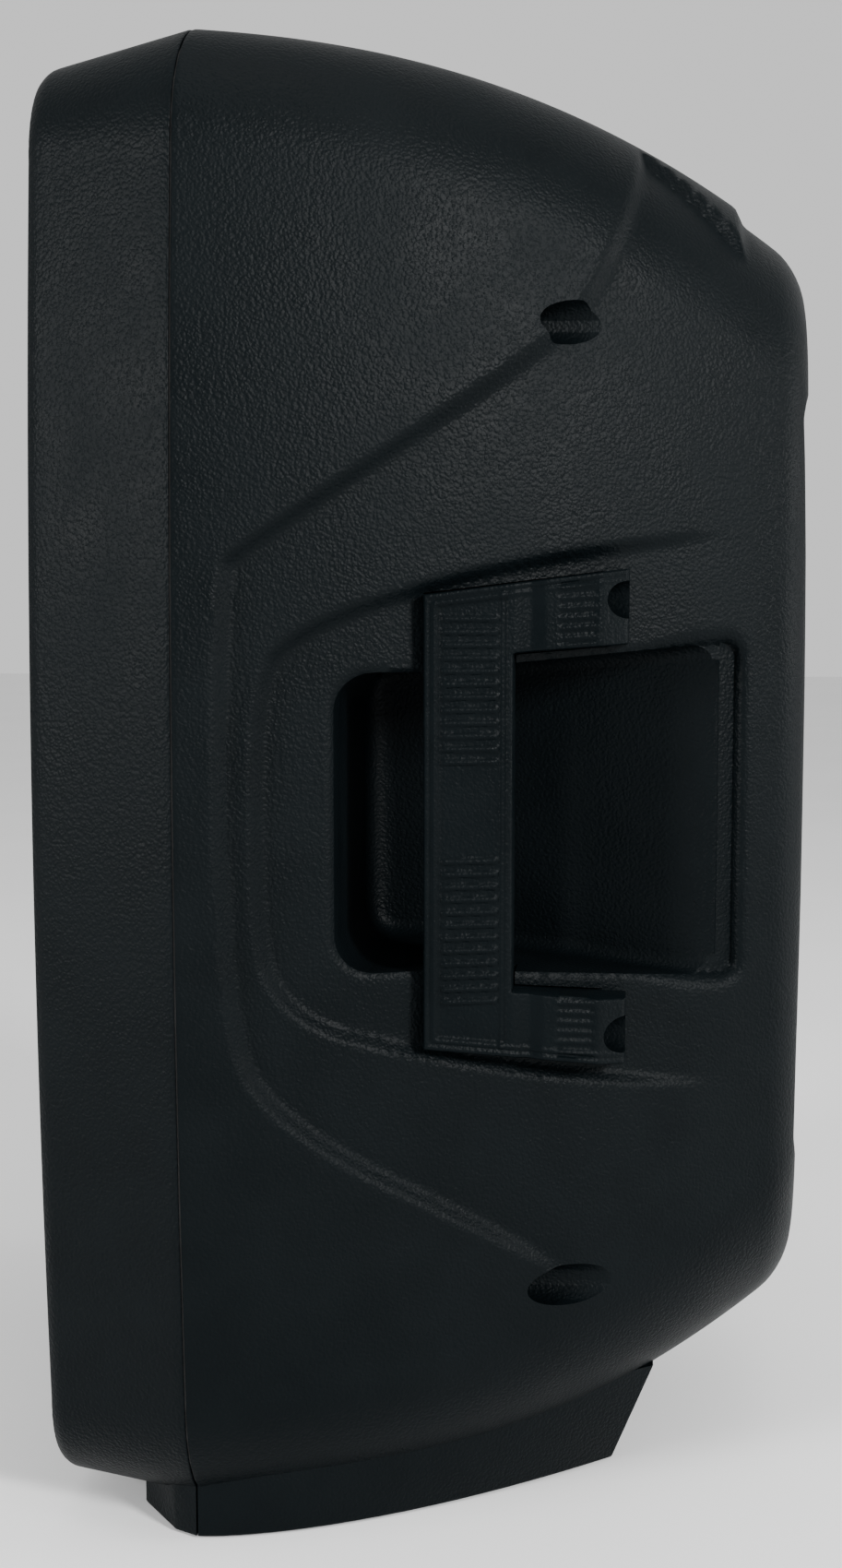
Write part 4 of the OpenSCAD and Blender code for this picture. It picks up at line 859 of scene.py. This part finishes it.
def top_grip():
    """Rounded bar with square ends, a waist and fine ribs across its grip."""
    rings = []
    a = np.linspace(0, math.pi / 2, 9)
    for x in np.linspace(-TOP_BAR_HALF, TOP_BAR_HALF, 240):
        grip = float(smooth_step((52 - abs(x)) / 8))
        rib = 0.45 * (0.5 + 0.5 * math.cos(2 * math.pi * x / 5)) if abs(x) < 40 else 0
        w, h = TOP_BAR_W - 2 * grip - rib, TOP_BAR_T - 2 * grip - rib
        r = 6 + 4 * grip
        if TOP_BAR_HALF - abs(x) < 0.7:
            w, h = w - 0.8, h - 0.8
        quarter = np.column_stack([w / 2 - r + r * np.cos(a), h / 2 - r + r * np.sin(a)])
        ring = np.vstack([quarter, quarter[::-1] * [-1, 1], -quarter, quarter[::-1] * [1, -1]])
        rings.append(np.column_stack([np.full(len(ring), x), ring[:, 0] + TOP_BAR_Y,
                                      ring[:, 1] + top_bar_z]))
    bar = loft("top_grip", rings)
    bores = []
    for s in (-1, 1):
        bores.append(rod("bore", (s * SEAT_X, TOP_BAR_Y, top_bar_z + 4), 4.5, 40, "Z"))
        bores.append(rod("hole", (s * SEAT_X, TOP_BAR_Y, top_bar_z - 30), 2.4, 60, "Z", sides=24))
    return combine(bar, bores)


dress(top_grip(), handle_plastic, hides=["top_handle"])


# ---- Screws with a cross recess ----
def joined(name, objects):
    """One object from several solids that stay apart."""
    points, faces = [], []
    for obj in objects:
        start = len(points)
        points += [tuple(v.co / MM) for v in obj.data.vertices]
        faces += [[start + v for v in p.vertices] for p in obj.data.polygons]
        bpy.data.objects.remove(obj)
    return new_object(name, points, faces)


def cross_screw(place, head_r, head_t, shank_r, length, facing=1):
    """Domed screw along Y whose head's underside is at place and whose recess faces facing."""
    x, y, z = place
    profile = [(0.01, -length), (shank_r * 0.7, -length), (shank_r, -length + 1), (shank_r, 0), (head_r, 0),
               (head_r, head_t * 0.35), (head_r * 0.9, head_t * 0.72), (head_r * 0.62, head_t * 0.94),
               (0.01, head_t)]
    screw = lathe("screw", (x, y, z), [(r, facing * t) for r, t in profile], sides=32)
    arms = []
    for w, h in ((head_r * 1.1, head_r * 0.26), (head_r * 0.26, head_r * 1.1)):
        near, far = sorted((y + facing * head_t * 0.35, y + facing * (head_t + 2)))
        low, high = (x - w / 2, near, z - h / 2), (x + w / 2, far, z + h / 2)
        arms.append(new_object("recess", *box_mesh(low, high)))
    return combine(screw, arms)


def screw_set(name, places, sizes, material, node, facing=1):
    screws = joined(name, [cross_screw(place, *sizes, facing=facing) for place in places])
    dress(screws, material, hides=[node])


screw_set("cross_screws_shell", [(s * BOSS_X, RECESS_Y, z) for s, z in screw_sites],
          (5, 3.4, 2, 33), zinc, "shell_screws")
screw_set("cross_screws_handle", [(s * HANDLE_SCREW_X, HANDLE_HEAD_Y, GRIP_Z + t * HANDLE_SCREW_DZ)
                                  for s in (-1, 1) for t in (-1, 1)],
          (5, 3.4, 2.6, 78), zinc, "handle_screws")
screw_set("cross_screws_panel", [(s * 70.5, PANEL_FACE, PANEL_Z + t * 155) for s in (-1, 1)
                                 for t in (-1, -1 / 3, 1 / 3, 1)],
          (3.4, 2.2, 1.4, 9), black_screw, "panel_screws")
screw_set("cross_screws_grille", [(x, GRILLE_Y, z) for x, z in grille_screw_sites],
          (3.6, 2, 2, 11), black_screw, "grille_screws", facing=-1)

# ---- Knobs and their dials ----
KNOB_Z, KNOB_Y, KNOB_X, FLUTES, KNOB_SIDES = 356, 137, 42, 18, 108
TICKS, TICK_STEP, TICK_FROM, TICK_HALF_W = 11, 30, 10.2, 0.3
# Radius, distance from the panel's side and depth of the flutes along a knob.
KNOB_PROFILE = [(7.7, 0, 0), (8, 0.3, 0), (8, 2.6, 0), (7.7, 3.0, 0), (7.1, 3.2, 0.1), (7.0, 3.8, 0.4),
                (6.7, 10.6, 0.4), (6.4, 11.5, 0.3), (5.9, 11.9, 0.1), (5.4, 12, 0), (0.01, 12.0, 0)]


def fluted_knob(name, x):
    """Knob with a plain skirt and shallow flutes, bored for its shaft and slotted for its pointer."""
    angle = np.arange(KNOB_SIDES) * 2 * math.pi / KNOB_SIDES
    rings = []
    for radius, depth, flute in KNOB_PROFILE:
        r = radius - flute * (0.5 + 0.5 * np.cos(FLUTES * angle))
        rings.append(np.column_stack([x + r * np.cos(angle), np.full(KNOB_SIDES, KNOB_Y + depth),
                                      KNOB_Z + r * np.sin(angle)]))
    slot = box_mesh((x - 0.6, KNOB_Y + 11.5, KNOB_Z + 1.5), (x + 0.6, KNOB_Y + 13, KNOB_Z + 9))
    return combine(loft(name, rings), [rod("bore", (x, KNOB_Y - 1, KNOB_Z), 3.05, 9),
                                       new_object("slot", *slot)])


for word, x, node, body in (("a", -KNOB_X, "gain_knob_a", "gain_knob_a_body"),
                            ("b", KNOB_X, "gain_knob_b", "gain_knob_b_body"),
                            ("master", 0, "master_knob", "master_knob_body")):
    dress(fluted_knob(f"fluted_knob_{word}", x), smooth_plastic, body, hides=[node])
    pointer = box_mesh((x - 0.5, KNOB_Y + 11.4, KNOB_Z + 1.6), (x + 0.5, KNOB_Y + 11.9, KNOB_Z + 6.3))
    dress(new_object(f"pointer_{word}", *pointer), mark_paint, body)

ticks = []
for x in (-KNOB_X, 0, KNOB_X):
    for k in range(TICKS):
        turn = math.radians(TICK_STEP * (k - TICKS // 2))
        reach = 12.2 if k % 5 == 0 else 11.6
        u = np.array([math.sin(turn), math.cos(turn)])
        v = np.array([math.cos(turn), -math.sin(turn)])
        ends = [np.array([x, KNOB_Z]) + u * r + v * side * TICK_HALF_W
                for r, side in ((TICK_FROM, -1), (TICK_FROM, 1), (reach, 1), (reach, -1))]
        ticks.append(loft("tick", [np.array([(p[0], y, p[1]) for p in ends])
                                   for y in (PANEL_FACE - 0.05, PANEL_FACE + 0.12)]))
dress(joined("dial_ticks", ticks), mark_paint)

# ---- Floor, lights, camera ----
FLOOR_HALF = 9000
floor_mesh = new_object("studio_floor", [(s * FLOOR_HALF, t * FLOOR_HALF, 0)
                                         for s, t in ((-1, -1), (1, -1), (1, 1), (-1, 1))], [(0, 1, 2, 3)])
floor_paint = finish_of("floor_paint", (0.80, 0.80, 0.80), (0.83, 0.83, 0.83), (0.6, 0.7), 3,
                        [("noise", 40, 0.2, 0.2)])
floor_mesh.data.materials.append(floor_paint)

world = bpy.data.worlds.new("studio")
bpy.context.scene.world = world
world.use_nodes = True
world.node_tree.nodes["Background"].inputs["Color"].default_value = (1, 1, 1, 1)
world.node_tree.nodes["Background"].inputs["Strength"].default_value = 0.85


def area_light(name, place, aim, size, power):
    data = bpy.data.lights.new(name, "AREA")
    data.shape, data.size, data.size_y, data.energy = "RECTANGLE", size[0], size[1], power
    lamp = bpy.data.objects.new(name, data)
    bpy.context.scene.collection.objects.link(lamp)
    lamp.location = place
    lamp.rotation_euler = (Vector(aim) - Vector(place)).to_track_quat("-Z", "Y").to_euler()


area_light("top_soft", (0.55, 0.25, 1.9), (0.1, 0.0, 0.4), (0.9, 0.9), 8)
area_light("front_soft", (1.6, -1.8, 0.85), (0.15, -0.1, 0.4), (0.5, 0.7), 66)
area_light("side_soft", (1.65, 1.65, 1.2), (0.15, 0.0, 0.45), (0.35, 0.5), 100)
area_light("rear_soft", (-0.3, 2.2, 0.6), (0.0, 0.0, 0.3), (0.6, 0.9), 22)

camera_data = bpy.data.cameras.new("camera")
camera_data.lens, camera_data.sensor_width = 45.5, 36
camera_data.shift_y = 0.0057
camera_data.clip_start = 0.05
camera = bpy.data.objects.new("camera", camera_data)
bpy.context.scene.collection.objects.link(camera)
camera.location = (0.9275, 0.0833, 0.3785)
camera.rotation_euler = Vector((-0.9894, -0.1078, -0.0971)).to_track_quat("-Z", "Y").to_euler()
bpy.context.scene.camera = camera
